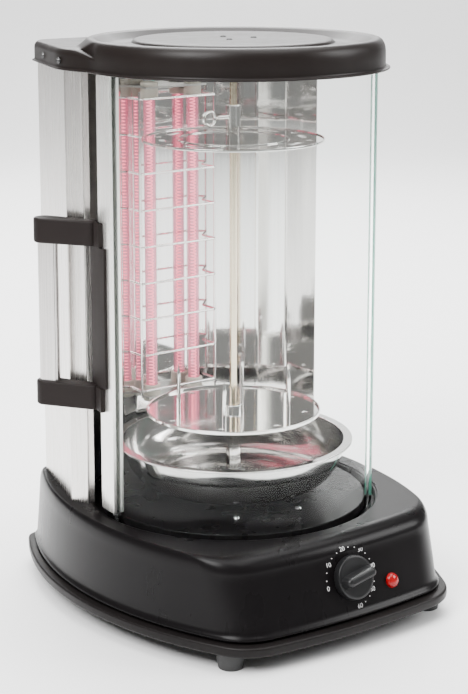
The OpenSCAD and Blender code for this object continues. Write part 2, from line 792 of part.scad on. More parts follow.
module drive_motor() {
    color("#8f8d8a") translate([0, 0, motor_top - motor_h]) difference() {
        union() {
            cylinder(r = motor_r, h = motor_h);
            translate([motor_r - 4, -7, 2]) cube([10, 14, 12]);
        }
        translate([0, 0, 3]) cylinder(r = shaft_r + running, h = motor_h, $fn = 48);
        for (a = [45:90:315]) rotate([0, 0, a]) translate([motor_r - 4, 0, motor_h - 6]) cylinder(r = 1.3, h = 8, $fn = 32);
    }
}

module motor_screws() {
    color("#a5a5a8") for (a = [45:90:315]) rotate([0, 0, a])
        translate([motor_r - 4, 0, motor_top + strap_t]) pan_head_screw(2.6, 1.4, 1.25, 6);
}

module drive_shaft() {
    color("#b9b9bb") translate([0, 0, motor_top - motor_h + 3.2])
        cylinder(r = shaft_r, h = platform_z + 6 - motor_top + motor_h - 3.2, $fn = 48);
}

// The turntable that the tray rests on, with a square boss and a square socket for the spit.
module drive_coupling() {
    color("#9b9894") difference() {
        union() {
            translate([0, 0, platform_z + 1.5]) cylinder(r = 12, h = coupling_z - 1.5);
            translate([0, 0, coupling_top - 3]) cylinder(r = 24, h = 3);
            translate([-boss_w / 2, -boss_w / 2, coupling_top - tiny]) cube([boss_w, boss_w, boss_h]);
        }
        translate([0, 0, platform_z]) cylinder(r = shaft_r + running, h = 6.2, $fn = 48);
        translate([-spit_foot_w / 2 - 0.2, -spit_foot_w / 2 - 0.2, spit_foot_z - 0.2])
            cube([spit_foot_w + 0.4, spit_foot_w + 0.4, 40]);
    }
}

spit_foot_z = coupling_top - socket_d;
tray_low = coupling_top + loose;
tray_t = 0.9;

// The pan's section from its flat floor up a round wall to a flat rim with a rolled edge.
module drip_tray() {
    depth = tray_z + platform_z - tray_low;
    floor_r = tray_r * 0.62;
    wall_r = tray_r - 6.5;
    steps = 10;
    outer = [for (i = [0:steps]) let (a = 90 * i / steps)
        [floor_r + (wall_r - floor_r) * sin(a), depth * (1 - cos(a)) * 0.98]];
    inner = [for (i = [steps:-1:0]) let (a = 90 * i / steps)
        [floor_r + (wall_r - floor_r - tray_t) * sin(a), tray_t + (depth * 0.98 - tray_t * 0.1) * (1 - cos(a))]];
    color("#cfcccb") translate([0, 0, tray_low]) difference() {
        union() {
            rotate_extrude() polygon(concat([[0, 0]], outer, inner, [[0, tray_t]]));
            translate([0, 0, depth - tray_t]) ring(tray_r, wall_r - tray_t, tray_t);
            translate([0, 0, depth - 2.4]) ring(tray_r, tray_r - 1, 2.4);
        }
        translate([-boss_w / 2 - 0.5, -boss_w / 2 - 0.5, -1]) cube([boss_w + 1, boss_w + 1, 5]);
    }
}

lower_z = platform_z + lower_plate_z;
post_r = rod_r + 3;
post_low = coupling_top + boss_h + 2 * loose;

module spit_rod() {
    color("#cdbf9f") {
        translate([0, 0, spit_foot_z + 4]) cylinder(r = rod_r, h = rod_top - spit_foot_z - 6, $fn = 48);
        translate([0, 0, rod_top - 2 - tiny]) cylinder(r1 = rod_r, r2 = rod_r - 1, h = 2, $fn = 48);
        translate([-spit_foot_w / 2, -spit_foot_w / 2, spit_foot_z]) cube([spit_foot_w, spit_foot_w, post_low - spit_foot_z]);
    }
}

prong_r = 46;
prong_h = 38;

// The dished plate under the food, on a post that slips over the rod.
module lower_plate() {
    color("#d4d1cc") difference() {
        union() {
            translate([0, 0, lower_z]) cylinder(r = lower_plate_r, h = 1.2);
            translate([0, 0, lower_z]) ring(lower_plate_r, lower_plate_r - 1.6, 3);
            translate([0, 0, post_low]) cylinder(r = post_r, h = lower_z - post_low + tiny, $fn = 48);
            translate([0, 0, lower_z]) cylinder(r = post_r + 2, h = 6, $fn = 48);
        }
        translate([0, 0, post_low - 1]) cylinder(r = rod_r, h = 200, $fn = 48);
        for (a = [0:45:315]) rotate([0, 0, a]) translate([lower_plate_r - 12, 0, lower_z - 1]) cylinder(r = 2.6, h = 6, $fn = 32);
        for (a = [45:90:315]) rotate([0, 0, a]) translate([prong_r, 0, lower_z - 1]) cylinder(r = 1.7, h = 6, $fn = 32);
    }
}

module plate_prongs() {
    color("#c6c3be") for (a = [45:90:315]) rotate([0, 0, a]) translate([prong_r, 0, lower_z - 1.2]) {
        cylinder(r = 3, h = 1.2, $fn = 32);
        cylinder(r = 1.7, h = prong_h - 8, $fn = 32);
        translate([0, 0, prong_h - 8 - tiny]) cylinder(r1 = 1.7, r2 = 0.2, h = 9, $fn = 32);
    }
}

top_z = platform_z + top_plate_z;
hub_r = rod_r + 2.9;
hub_h = 29;
thumb_z = top_z + 19;

// The plate that presses on the food, with holes and curved slots for skewers.
module top_plate() {
    color("#d6d3ce") difference() {
        union() {
            translate([0, 0, top_z]) cylinder(r = top_plate_r, h = 1.2);
            translate([0, 0, top_z + 1.2 - tiny]) ring(top_plate_r * 0.62, top_plate_r * 0.62 - 2.4, 0.8);
            translate([0, 0, top_z]) ring(top_plate_r, top_plate_r - 1.4, 2.2);
        }
        translate([0, 0, top_z - 1]) cylinder(r = hub_r, h = 6, $fn = 48);
        for (a = [0:45:315]) rotate([0, 0, a]) {
            translate([top_plate_r - 12, 0, top_z - 1]) cylinder(r = 2.6, h = 6, $fn = 32);
            translate([0, 0, top_z - 1]) sector(top_plate_r - 14, top_plate_r - 18.5, 14, 17, 6);
        }
    }
}

module top_hub() {
    color("#dedbd6") difference() {
        union() {
            translate([0, 0, top_z - 5]) cylinder(r = hub_r, h = hub_h + 5, $fn = 48);
            translate([0, 0, top_z - 2]) cylinder(r = hub_r + 4, h = 2, $fn = 48);
        }
        translate([0, 0, top_z - 10]) cylinder(r = rod_r + running, h = hub_h + 20, $fn = 48);
        translate([0, 0, thumb_z]) rotate([0, -90, 0]) cylinder(r = screw_r + running, h = 20, $fn = 32);
    }
}

screw_r = 2;
loop_r = 5.5;
loop_wire_r = 1.3;

// A cranked wire screw with a ring to turn it by.
module thumb_screw() {
    screw_l = 12;
    neck_l = 3.2;
    color("#d8d5d0") translate([-rod_r - loose, 0, thumb_z]) {
        rotate([0, -90, 0]) cylinder(r = screw_r, h = screw_l, $fn = 32);
        translate([-screw_l + tiny, 0, 0]) rotate([0, -90, 0]) cylinder(r = loop_wire_r, h = neck_l, $fn = 24);
        translate([-screw_l - neck_l - loop_r + 0.5, 0, 0]) rotate([90, 0, 0])
            rotate_extrude() translate([loop_r, 0]) circle(r = loop_wire_r, $fn = 24);
    }
}

// ---- controls ------------------------------------------------------------------------------

timer_shaft_r = 3;
timer_half = 20;
timer_depth = 26;
timer_face = -shell_wall - 0.8;
timer_neck_top = 0.9;
knob_low = timer_neck_top + loose;
knob_skirt = 3;
knob_cone = 4;
knob_h = 15;
// The pointer starts at the left, a little below level.
knob_rest = 10;

module timer_knob() {
    grip_w = 8;
    color("#151415") on_front(knob_x, knob_z) translate([0, 0, knob_low]) difference() {
        union() {
            cylinder(r = knob_r, h = knob_skirt);
            translate([0, 0, knob_skirt - tiny]) cylinder(r1 = knob_r - 0.6, r2 = knob_r - 2.6, h = knob_cone);
            intersection() {
                rotate([0, 0, knob_rest]) translate([-knob_r, -grip_w / 2, 0]) cube([2 * knob_r, grip_w, knob_h]);
                translate([0, 0, knob_skirt - tiny]) cylinder(r1 = knob_r, r2 = knob_r - 2.5, h = knob_h - knob_skirt);
            }
        }
        translate([0, 0, -1]) cylinder(r = timer_shaft_r, h = knob_h - 3, $fn = 48);
    }
}

module timer_shaft() {
    low = timer_face - timer_depth + 6;
    color("#9d9da0") on_front(knob_x, knob_z) translate([0, 0, low])
        cylinder(r = timer_shaft_r, h = knob_low + knob_h - 4.2 - low, $fn = 48);
}

module timer_body() {
    color("#d8d2c4") on_front(knob_x, knob_z) translate([0, 0, timer_face]) difference() {
        union() {
            translate([-timer_half, -timer_half, -timer_depth]) cube([2 * timer_half, 2 * timer_half, timer_depth]);
            translate([0, 0, -tiny]) cylinder(r = timer_neck_r, h = timer_neck_top - timer_face, $fn = 48);
        }
        translate([0, 0, 5 - timer_depth]) cylinder(r = timer_shaft_r + running, h = timer_depth + 10, $fn = 48);
    }
}

// A thin nut that clamps the timer's neck to the front wall.
module timer_nut() {
    color("#a5a5a8") on_front(knob_x, knob_z) translate([0, 0, 0.1]) difference() {
        cylinder(r = timer_neck_r + 2.2, h = 0.75, $fn = 6);
        translate([0, 0, -1]) cylinder(r = timer_neck_r, h = 3, $fn = 48);
    }
}

module lamp_lens() {
    color("#c41f24") on_front(lamp_x, lamp_z) {
        cylinder(r = lamp_r, h = 1.5, $fn = 64);
        translate([0, 0, 1.5 - tiny]) intersection() {
            translate([0, 0, -lamp_r * 0.55]) sphere(r = lamp_r * 1.08, $fn = 64);
            cylinder(r = lamp_r - 0.3, h = lamp_r, $fn = 64);
        }
    }
}

module lamp_body() {
    color("#e4e0d6") on_front(lamp_x, lamp_z) translate([0, 0, -20]) cylinder(r = lamp_body_r, h = 20, $fn = 48);
}

module thermal_cutout() {
    color("#cfc8b8") translate([step_r * 0.46, step_r + 1, platform_z]) {
        cylinder(r = 8, h = 10, $fn = 48);
        for (s = [-1, 1]) translate([s * 5 - 1.5, -0.4, 10 - tiny]) cube([3, 0.8, 8]);
    }
}

module terminal_block() {
    color("#e8e4da") translate([-24, 96, foot_h + plate_t]) difference() {
        cube([48, 18, 16]);
        for (i = [0:3]) translate([6 + i * 12, -1, 8]) rotate([-90, 0, 0]) cylinder(r = 2, h = 20, $fn = 32);
    }
}

// ---- assembly ------------------------------------------------------------------------------

base_shell();
bottom_plate();
platform_plate();
feet();
foot_screws();
base_screws();
platform_screws();
cable_bushing();
side_panel_left();
side_panel_right();
rear_cover();
rear_cover_screws();
heat_shield();
reflector();
heating_tubes();
heating_coils();
heater_caps();
heater_bracket_top();
heater_bracket_bottom();
heater_guard();
lid();
ceiling_plate();
top_bearing();
lid_screws();
lid_side_screws();
door_glass();
door_frame();
door_guides();
handle_bracket_upper();
handle_bracket_lower();
handle_back_plate();
handle_bar();
handle_screws();
motor_bracket();
drive_motor();
motor_screws();
drive_shaft();
drive_coupling();
drip_tray();
spit_rod();
lower_plate();
plate_prongs();
top_plate();
top_hub();
thumb_screw();
timer_knob();
timer_shaft();
timer_body();
timer_nut();
lamp_lens();
lamp_body();
thermal_cutout();
terminal_block();
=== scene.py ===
import math

import bmesh
import bpy
import numpy as np
from mathutils import Matrix, Vector


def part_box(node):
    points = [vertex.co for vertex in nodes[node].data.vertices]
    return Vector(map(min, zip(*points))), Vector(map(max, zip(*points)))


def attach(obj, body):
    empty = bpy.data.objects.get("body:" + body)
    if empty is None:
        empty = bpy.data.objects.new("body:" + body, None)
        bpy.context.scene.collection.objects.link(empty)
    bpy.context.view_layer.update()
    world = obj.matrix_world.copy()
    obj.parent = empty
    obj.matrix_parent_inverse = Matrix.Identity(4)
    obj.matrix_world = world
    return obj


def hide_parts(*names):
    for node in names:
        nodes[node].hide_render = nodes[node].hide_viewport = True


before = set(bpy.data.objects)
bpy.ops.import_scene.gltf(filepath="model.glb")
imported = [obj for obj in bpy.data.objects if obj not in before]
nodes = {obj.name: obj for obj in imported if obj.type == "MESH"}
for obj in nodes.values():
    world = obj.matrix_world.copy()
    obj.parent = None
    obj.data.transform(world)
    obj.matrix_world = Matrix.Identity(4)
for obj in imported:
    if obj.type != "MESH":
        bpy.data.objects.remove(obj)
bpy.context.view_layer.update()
scene = bpy.context.scene
print("frame loaded:", len(nodes), "nodes")

# Camera: first, level with the lid and turned to the oven's left front.
camera = dict(turn=36.0, away=1.4256, height=0.5686, tilt=11.437, lens=92.4, shiftX=0.001, shiftY=-0.125)


def makeCamera(c):
    data = bpy.data.cameras.new("camera")
    data.lens = c["lens"]
    data.sensor_fit = "VERTICAL"
    data.sensor_height = 36.0
    data.shift_x = c["shiftX"]
    data.shift_y = c["shiftY"]
    data.clip_end = 20
    ob = bpy.data.objects.new("camera", data)
    scene.collection.objects.link(ob)
    a = math.radians(c["turn"])
    ob.location = (-math.sin(a) * c["away"], -math.cos(a) * c["away"], c["height"])
    ob.rotation_euler = (math.radians(90 - c["tilt"]), 0, -a)
    scene.camera = ob


makeCamera(camera)

# Sizes that every piece shares, read from the frame.


def span(name):
    lo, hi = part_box(name)
    return np.array(lo), np.array(hi)


shellLow, shellHigh = span("base_shell")
bandLow, bandHigh = span("bottom_plate")
trackLow, trackHigh = span("platform_plate")
ceilLow = span("ceiling_plate")[0][2]
platformZ = float(trackHigh[2])
platformR = float(trackHigh[0])
slotZ = float(trackLow[2])
lidLow = span("lid")[0]
glassLow, glassHigh = span("door_glass")

# Mesh helpers.


# Wide faces outweigh the narrow ones of a rounded edge, so flats stay flat.
def evenNormals(ob):
    m = ob.modifiers.new("even normals", "WEIGHTED_NORMAL")
    m.keep_sharp = True
    m.weight = 80


def newObject(name, verts, faces, smoothAngle=40):
    mesh = bpy.data.meshes.new(name)
    mesh.from_pydata(np.asarray(verts, float).reshape(-1, 3).tolist(), [], [list(f) for f in faces])
    bm = bmesh.new()
    bm.from_mesh(mesh)
    bmesh.ops.remove_doubles(bm, verts=bm.verts, dist=2e-6)
    volume = bm.calc_volume(signed=True)
    if volume < 0:
        bmesh.ops.reverse_faces(bm, faces=bm.faces)
    bm.to_mesh(mesh)
    bm.free()
    mesh.polygons.foreach_set("use_smooth", np.ones(len(mesh.polygons), bool))
    mesh.set_sharp_from_angle(angle=math.radians(smoothAngle))
    ob = bpy.data.objects.new(name, mesh)
    scene.collection.objects.link(ob)
    evenNormals(ob)
    return ob


# A grid of points, rows by columns, becomes quads: row i joins row i + 1, column j joins j + 1.
def gridFaces(rows, cols, wrapRows, wrapCols):
    i = np.arange(rows if wrapRows else rows - 1)[:, None]
    j = np.arange(cols if wrapCols else cols - 1)[None, :]
    i2, j2 = (i + 1) % rows, (j + 1) % cols
    quads = np.stack(np.broadcast_arrays(i * cols + j, i * cols + j2, i2 * cols + j2, i2 * cols + j), -1)
    return quads.reshape(-1, 4).tolist()


def gridObject(name, pts, wrapRows=False, wrapCols=True, caps=False, smoothAngle=40):
    pts = np.asarray(pts, float)
    rows, cols = pts.shape[:2]
    faces = gridFaces(rows, cols, wrapRows, wrapCols)
    if caps:
        faces.append(list(range(cols))[::-1])
        faces.append(list(range((rows - 1) * cols, rows * cols)))
    return newObject(name, pts, faces, smoothAngle)


# A polyline whose corners are cut back by the given radii and filled with short arcs (quadratic curves).
def soften(points, radius, steps=5, closed=False):
    p = np.asarray(points, float)
    n = len(p)
    r = np.broadcast_to(np.asarray(radius, float), (n,))
    out = []
    for i in range(n):
        if not closed and i in (0, n - 1):
            out.append(p[i][None])
            continue
        a, b, c = p[i - 1], p[i], p[(i + 1) % n]
        la, lc = np.linalg.norm(a - b), np.linalg.norm(c - b)
        k = min(r[i], 0.49 * la, 0.49 * lc)
        if k <= 0:
            out.append(b[None])
            continue
        s = b + (a - b) * k / la
        e = b + (c - b) * k / lc
        t = np.linspace(0, 1, steps + 1)[:, None]
        out.append((1 - t) ** 2 * s + 2 * t * (1 - t) * b + t ** 2 * e)
    return np.concatenate(out)


# A profile of (radius, height) turned about a vertical line: x = r cos a, y = r sin a, z = height.
def lathe(name, profile, segments=128, centre=(0, 0, 0), closed=False, smoothAngle=40):
    p = np.asarray(profile, float)
    a = np.linspace(0, 2 * np.pi, segments, endpoint=False)
    pts = np.stack([p[:, :1] * np.cos(a), p[:, :1] * np.sin(a), np.repeat(p[:, 1:], segments, 1)], -1)
    ob = gridObject(name, pts, wrapRows=closed, smoothAngle=smoothAngle)
    ob.data.transform(Matrix.Translation(centre))
    return ob


# Sideways step of a closed outline: every point moves along the mean normal of its two edges.
def inset(outline, d):
    p = np.asarray(outline, float)
    e = np.roll(p, -1, 0) - p
    e /= np.maximum(np.linalg.norm(e, axis=1, keepdims=True), 1e-9)
    nrm = np.stack([-e[:, 1], e[:, 0]], 1)
    mean = nrm + np.roll(nrm, 1, 0)
    mean /= np.maximum(np.linalg.norm(mean, axis=1, keepdims=True), 1e-9)
    miter = 1 / np.maximum((mean * nrm).sum(1, keepdims=True), 0.5)
    return p + mean * d * miter


def turnsLeft(outline):
    p = np.asarray(outline, float)
    q = np.roll(p, -1, 0)
    return (p[:, 0] * q[:, 1] - q[:, 0] * p[:, 1]).sum() > 0


# An upright bar of a closed outline, its two ends rounded by a quarter circle of radius bevel.
def prism(name, outline, z0, z1, bevel=0.0006, steps=3, smoothAngle=35):
    p = np.asarray(outline, float)
    p = p if turnsLeft(p) else p[::-1]
    t = np.linspace(0, np.pi / 2, steps + 1)
    inner, rise = bevel * (1 - np.sin(t)), bevel * (1 - np.cos(t))
    levels = [(d, z0 + h) for d, h in zip(inner, rise)] + [(d, z1 - h) for d, h in zip(inner[::-1], rise[::-1])]
    pts = np.stack([np.column_stack([inset(p, d), np.full(len(p), z)]) for d, z in levels])
    return gridObject(name, pts, caps=True, smoothAngle=smoothAngle)


# A bent strip seen from above: the path, then the same path moved sideways by its thickness, backwards.
def stripOutline(path, thick):
    p = np.asarray(path, float)
    e = np.diff(p, axis=0)
    e /= np.maximum(np.linalg.norm(e, axis=1, keepdims=True), 1e-9)
    nrm = np.stack([-e[:, 1], e[:, 0]], 1)
    mean = np.vstack([nrm[:1], nrm[:-1] + nrm[1:], nrm[-1:]])
    mean /= np.linalg.norm(mean, axis=1, keepdims=True)
    before = np.vstack([nrm[:1], nrm])
    miter = 1 / np.maximum((mean * before).sum(1, keepdims=True), 0.5)
    return np.vstack([p, (p + mean * thick * miter)[::-1]])


# A round bar along a path of points: a circle of the given radius square to the path at each point.
def tube(name, path, radius, sides=16, closed=False):
    p = np.asarray(path, float)
    if closed:
        t = np.roll(p, -1, 0) - np.roll(p, 1, 0)
    else:
        t = np.gradient(p, axis=0)
    t /= np.linalg.norm(t, axis=1, keepdims=True)
    ref = np.array([0, 0, 1.0]) if abs(t[:, 2]).max() < 0.9 else np.array([0, 1.0, 0.13])
    side = np.cross(t, ref)
    side /= np.linalg.norm(side, axis=1, keepdims=True)
    up = np.cross(side, t)
    a = np.linspace(0, 2 * np.pi, sides, endpoint=False)
    r = np.broadcast_to(np.asarray(radius, float), (len(p),))[:, None, None]
    pts = p[:, None] + r * (np.cos(a)[None, :, None] * side[:, None] + np.sin(a)[None, :, None] * up[:, None])
    return gridObject(name, pts, wrapRows=closed, caps=not closed, smoothAngle=50)


def place(ob, matrix):
    ob.data.transform(matrix)
    return ob


def joined(name, obs):
    for o in bpy.context.selected_objects:
        o.select_set(False)
    for o in obs:
        o.select_set(True)
    bpy.context.view_layer.objects.active = obs[0]
    bpy.ops.object.join()
    obs[0].name = name
    obs[0].data.name = name
    return obs[0]


# Materials.


def group(name, inputs, outputs):
    g = bpy.data.node_groups.new(name, "ShaderNodeTree")
    for label, kind, value in inputs:
        s = g.interface.new_socket(label, in_out="INPUT", socket_type=kind)
        s.default_value = value
    for label, kind in outputs:
        g.interface.new_socket(label, in_out="OUTPUT", socket_type=kind)
    a, b = g.nodes.new("NodeGroupInput"), g.nodes.new("NodeGroupOutput")
    return g, a, b


def put(tree, kind, **values):
    n = tree.nodes.new(kind)
    for k, v in values.items():
        setattr(n, k, v)
    return n


num, col = "NodeSocketFloat", "NodeSocketColor"


# Object coordinates stretched by a vector, then a noise read there, mapped to low..high.
def noiseFactor(g, source, scale, stretch, low, high, detail=3.0):
    coord = put(g, "ShaderNodeTexCoord")
    mapping = put(g, "ShaderNodeMapping")
    mapping.inputs["Scale"].default_value = stretch
    noise = put(g, "ShaderNodeTexNoise")
    noise.inputs["Detail"].default_value = detail
    if source is None:
        noise.inputs["Scale"].default_value = scale
    else:
        g.links.new(source, noise.inputs["Scale"])
    ramp = put(g, "ShaderNodeMapRange")
    ramp.inputs["From Min"].default_value = 0.3
    ramp.inputs["From Max"].default_value = 0.7
    ramp.inputs["To Min"].default_value = low
    ramp.inputs["To Max"].default_value = high
    g.links.new(coord.outputs["Object"], mapping.inputs["Vector"])
    g.links.new(mapping.outputs["Vector"], noise.inputs["Vector"])
    g.links.new(noise.outputs["Fac"], ramp.inputs["Value"])
    return ramp.outputs["Result"]


def mixColour(g, factor, a, b, kind="MIX"):
    n = put(g, "ShaderNodeMix", data_type="RGBA", blend_type=kind)
    for value, socket in ((factor, n.inputs[0]), (a, n.inputs[6]), (b, n.inputs[7])):
        if hasattr(value, "node"):
            g.links.new(value, socket)
        else:
            socket.default_value = value
    return n.outputs[2]


def sums(g, op, a, b):
    n = put(g, "ShaderNodeMath", operation=op)
    for value, socket in zip((a, b), n.inputs):
        if hasattr(value, "node"):
            g.links.new(value, socket)
        else:
            socket.default_value = value
    return n.outputs[0]


# Sprayed or moulded skin: a fine pebble for the height, and soft cloudy patches for colour and gloss.
def makeSkin():
    g, a, b = group("moulded skin", [("Colour", col, (0.1, 0.1, 0.1, 1)), ("Worn colour", col, (0.2, 0.2, 0.2, 1)),
                                     ("Gloss", num, 0.3), ("Gloss spread", num, 0.1), ("Pebble size", num, 900.0)],
                    [("Colour", col), ("Roughness", num), ("Height", num)])
    cloud = noiseFactor(g, None, 14, (1, 1, 1), 0, 1)
    fine = noiseFactor(g, a.outputs["Pebble size"], 0, (1, 1, 1), 0, 1, 2)
    smear = noiseFactor(g, None, 60, (1, 1, 0.25), 0, 1)
    g.links.new(mixColour(g, sums(g, "MULTIPLY", cloud, 0.35), a.outputs["Colour"], a.outputs["Worn colour"]),
                b.inputs["Colour"])
    spread = sums(g, "MULTIPLY", sums(g, "ADD", sums(g, "MULTIPLY", smear, 0.5), sums(g, "MULTIPLY", cloud, 0.5)),
                  a.outputs["Gloss spread"])
    g.links.new(sums(g, "ADD", a.outputs["Gloss"], spread), b.inputs["Roughness"])
    g.links.new(fine, b.inputs["Height"])
    return g


# Drawn sheet: noise pulled out along the brushing direction shades the colour, the gloss and the height.
def makeBrushed(name, stretch):
    g, a, b = group(name, [("Colour", col, (0.6, 0.6, 0.6, 1)), ("Streak colour", col, (0.4, 0.4, 0.4, 1)),
                           ("Gloss", num, 0.2), ("Gloss spread", num, 0.15), ("Streaks", num, 700.0)],
                    [("Colour", col), ("Roughness", num), ("Height", num)])
    line = noiseFactor(g, a.outputs["Streaks"], 0, stretch, 0, 1, 4)
    cloud = noiseFactor(g, None, 9, (1, 1, 1), 0, 1)
    mixed = sums(g, "ADD", sums(g, "MULTIPLY", line, 0.6), sums(g, "MULTIPLY", cloud, 0.4))
    g.links.new(mixColour(g, mixed, a.outputs["Colour"], a.outputs["Streak colour"]), b.inputs["Colour"])
    g.links.new(sums(g, "ADD", a.outputs["Gloss"], sums(g, "MULTIPLY", mixed, a.outputs["Gloss spread"])),
                b.inputs["Roughness"])
    g.links.new(line, b.inputs["Height"])
    return g


skin = makeSkin()
upright = makeBrushed("upright brushing", (1, 1, 0.015))
turned = makeBrushed("turned brushing", (0.06, 0.06, 1))


def material(name, shared, values, shader, bump=0.0, distance=0.0002):
    m = bpy.data.materials.new(name)
    m.use_nodes = True
    t = m.node_tree
    p = t.nodes["Principled BSDF"]
    for key, value in shader.items():
        p.inputs[key].default_value = value
    g = put(t, "ShaderNodeGroup", node_tree=shared)
    for key, value in values.items():
        g.inputs[key].default_value = value
    t.links.new(g.outputs["Colour"], p.inputs["Base Color"])
    t.links.new(g.outputs["Roughness"], p.inputs["Roughness"])
    if bump:
        b = put(t, "ShaderNodeBump")
        b.inputs["Strength"].default_value = bump
        b.inputs["Distance"].default_value = distance
        t.links.new(g.outputs["Height"], b.inputs["Height"])
        t.links.new(b.outputs["Normal"], p.inputs["Normal"])
    return m


def rgb(r, g=None, b=None):
    return (r, r if g is None else g, r if b is None else b, 1)


baseBlack = material("base black", skin, {
    "Colour": rgb(0.0035, 0.003, 0.0033), "Worn colour": rgb(0.006, 0.0052, 0.0054), "Gloss": 0.26,
    "Gloss spread": 0.04, "Pebble size": 1400.0}, {"Specular IOR Level": 0.1}, 0.03, 0.0001)
lidBlack = material("lid black", skin, {
    "Colour": rgb(0.007, 0.005, 0.0045), "Worn colour": rgb(0.014, 0.011, 0.01), "Gloss": 0.32,
    "Gloss spread": 0.1, "Pebble size": 1500.0}, {"Specular IOR Level": 0.15}, 0.06, 0.0001)
bandBlack = material("band black", skin, {
    "Colour": rgb(0.006, 0.005, 0.005), "Worn colour": rgb(0.012, 0.01, 0.0095), "Gloss": 0.34,
    "Gloss spread": 0.1, "Pebble size": 1500.0}, {"Specular IOR Level": 0.12}, 0.06, 0.0001)
handleBlack = material("handle black", skin, {
    "Colour": rgb(0.009, 0.0065, 0.006), "Worn colour": rgb(0.018, 0.014, 0.013), "Gloss": 0.45,
    "Gloss spread": 0.12, "Pebble size": 2200.0}, {"Specular IOR Level": 0.12}, 0.35, 0.00012)
knobBlack = material("knob black", skin, {
    "Colour": rgb(0.006, 0.006, 0.0065), "Worn colour": rgb(0.012, 0.012, 0.012), "Gloss": 0.28,
    "Gloss spread": 0.08, "Pebble size": 1800.0}, {"Specular IOR Level": 0.25}, 0.05, 0.0001)
footRubber = material("foot rubber", skin, {
    "Colour": rgb(0.012), "Worn colour": rgb(0.03), "Gloss": 0.45, "Gloss spread": 0.2,
    "Pebble size": 1600.0}, {}, 0.4, 0.0002)
housingSteel = material("housing steel", upright, {
    "Colour": rgb(0.8, 0.775, 0.75), "Streak colour": rgb(0.66, 0.63, 0.6), "Gloss": 0.22,
    "Gloss spread": 0.1, "Streaks": 900.0}, {"Metallic": 1.0}, 0.12, 0.0001)
mirrorSteel = material("mirror steel", upright, {
    "Colour": rgb(0.9, 0.88, 0.87), "Streak colour": rgb(0.82, 0.8, 0.79), "Gloss": 0.035,
    "Gloss spread": 0.06, "Streaks": 500.0}, {"Metallic": 1.0}, 0.02, 0.0001)
panSteel = material("pan steel", turned, {
    "Colour": rgb(0.74, 0.72, 0.71), "Streak colour": rgb(0.58, 0.56, 0.55), "Gloss": 0.07,
    "Gloss spread": 0.12, "Streaks": 700.0}, {"Metallic": 1.0}, 0.05, 0.0001)
plateChrome = material("plate chrome", turned, {
    "Colour": rgb(0.9, 0.88, 0.86), "Streak colour": rgb(0.8, 0.78, 0.76), "Gloss": 0.06,
    "Gloss spread": 0.08, "Streaks": 500.0}, {"Metallic": 1.0}, 0.03, 0.0001)
# The rod's gold tint is a painted warm reflection, laid over the whole chrome rod as its colour.
rodChromeWarmReflection = material("rod chrome, painted warm reflection", turned, {
    "Colour": rgb(0.84, 0.74, 0.58), "Streak colour": rgb(0.72, 0.6, 0.43), "Gloss": 0.1,
    "Gloss spread": 0.1, "Streaks": 900.0}, {"Metallic": 1.0}, 0.03, 0.0001)
frameMetal = material("frame metal", upright, {
    "Colour": rgb(0.93, 0.92, 0.89), "Streak colour": rgb(0.86, 0.84, 0.8), "Gloss": 0.24,
    "Gloss spread": 0.1, "Streaks": 900.0}, {"Metallic": 0.85}, 0.06, 0.0001)
barMetal = material("bar metal", upright, {
    "Colour": rgb(0.66, 0.64, 0.62), "Streak colour": rgb(0.45, 0.43, 0.42), "Gloss": 0.12,
    "Gloss spread": 0.12, "Streaks": 800.0}, {"Metallic": 1.0}, 0.08, 0.0001)
plainSteel = material("plain steel", upright, {
    "Colour": rgb(0.6, 0.59, 0.57), "Streak colour": rgb(0.48, 0.46, 0.44), "Gloss": 0.28,
    "Gloss spread": 0.15, "Streaks": 600.0}, {"Metallic": 1.0}, 0.1, 0.0001)
screwZinc = material("screw zinc", turned, {
    "Colour": rgb(0.62, 0.62, 0.63), "Streak colour": rgb(0.42, 0.42, 0.43), "Gloss": 0.2,
    "Gloss spread": 0.15, "Streaks": 1500.0}, {"Metallic": 1.0}, 0.1, 0.0001)
darkScrew = material("dark screw", turned, {
    "Colour": rgb(0.05), "Streak colour": rgb(0.09), "Gloss": 0.3, "Gloss spread": 0.1,
    "Streaks": 1500.0}, {"Metallic": 1.0}, 0.1, 0.0001)
motorZinc = material("motor zinc", turned, {
    "Colour": rgb(0.42), "Streak colour": rgb(0.3), "Gloss": 0.3, "Gloss spread": 0.15,
    "Streaks": 500.0}, {"Metallic": 1.0}, 0.1, 0.0002)
bearingBrass = material("bearing brass", turned, {
    "Colour": rgb(0.75, 0.58, 0.3), "Streak colour": rgb(0.58, 0.42, 0.2), "Gloss": 0.22,
    "Gloss spread": 0.12, "Streaks": 900.0}, {"Metallic": 1.0}, 0.1, 0.0001)
ceramic = material("heater ceramic", skin, {
    "Colour": rgb(0.72, 0.68, 0.6), "Worn colour": rgb(0.55, 0.5, 0.42), "Gloss": 0.55,
    "Gloss spread": 0.2, "Pebble size": 1200.0}, {}, 0.3, 0.0002)
switchPlastic = material("switch plastic", skin, {
    "Colour": rgb(0.68, 0.64, 0.55), "Worn colour": rgb(0.55, 0.5, 0.42), "Gloss": 0.4,
    "Gloss spread": 0.15, "Pebble size": 1600.0}, {}, 0.2, 0.0001)
lampRed = material("lamp red", skin, {
    "Colour": rgb(0.22, 0.002, 0.004), "Worn colour": rgb(0.3, 0.005, 0.007), "Gloss": 0.1,
    "Gloss spread": 0.08, "Pebble size": 900.0}, {"Specular IOR Level": 0.3}, 0.05, 0.0001)
dialWhite = material("dial white", skin, {
    "Colour": rgb(0.72), "Worn colour": rgb(0.6), "Gloss": 0.45, "Gloss spread": 0.1,
    "Pebble size": 2500.0}, {}, 0.05, 0.0001)
coilGlow = material("coil glow", turned, {
    "Colour": rgb(0.7, 0.15, 0.12), "Streak colour": rgb(0.4, 0.08, 0.08), "Gloss": 0.4,
    "Gloss spread": 0.2, "Streaks": 900.0},
    {"Emission Color": rgb(1.0, 0.32, 0.42), "Emission Strength": 4.0}, 0.1, 0.0001)
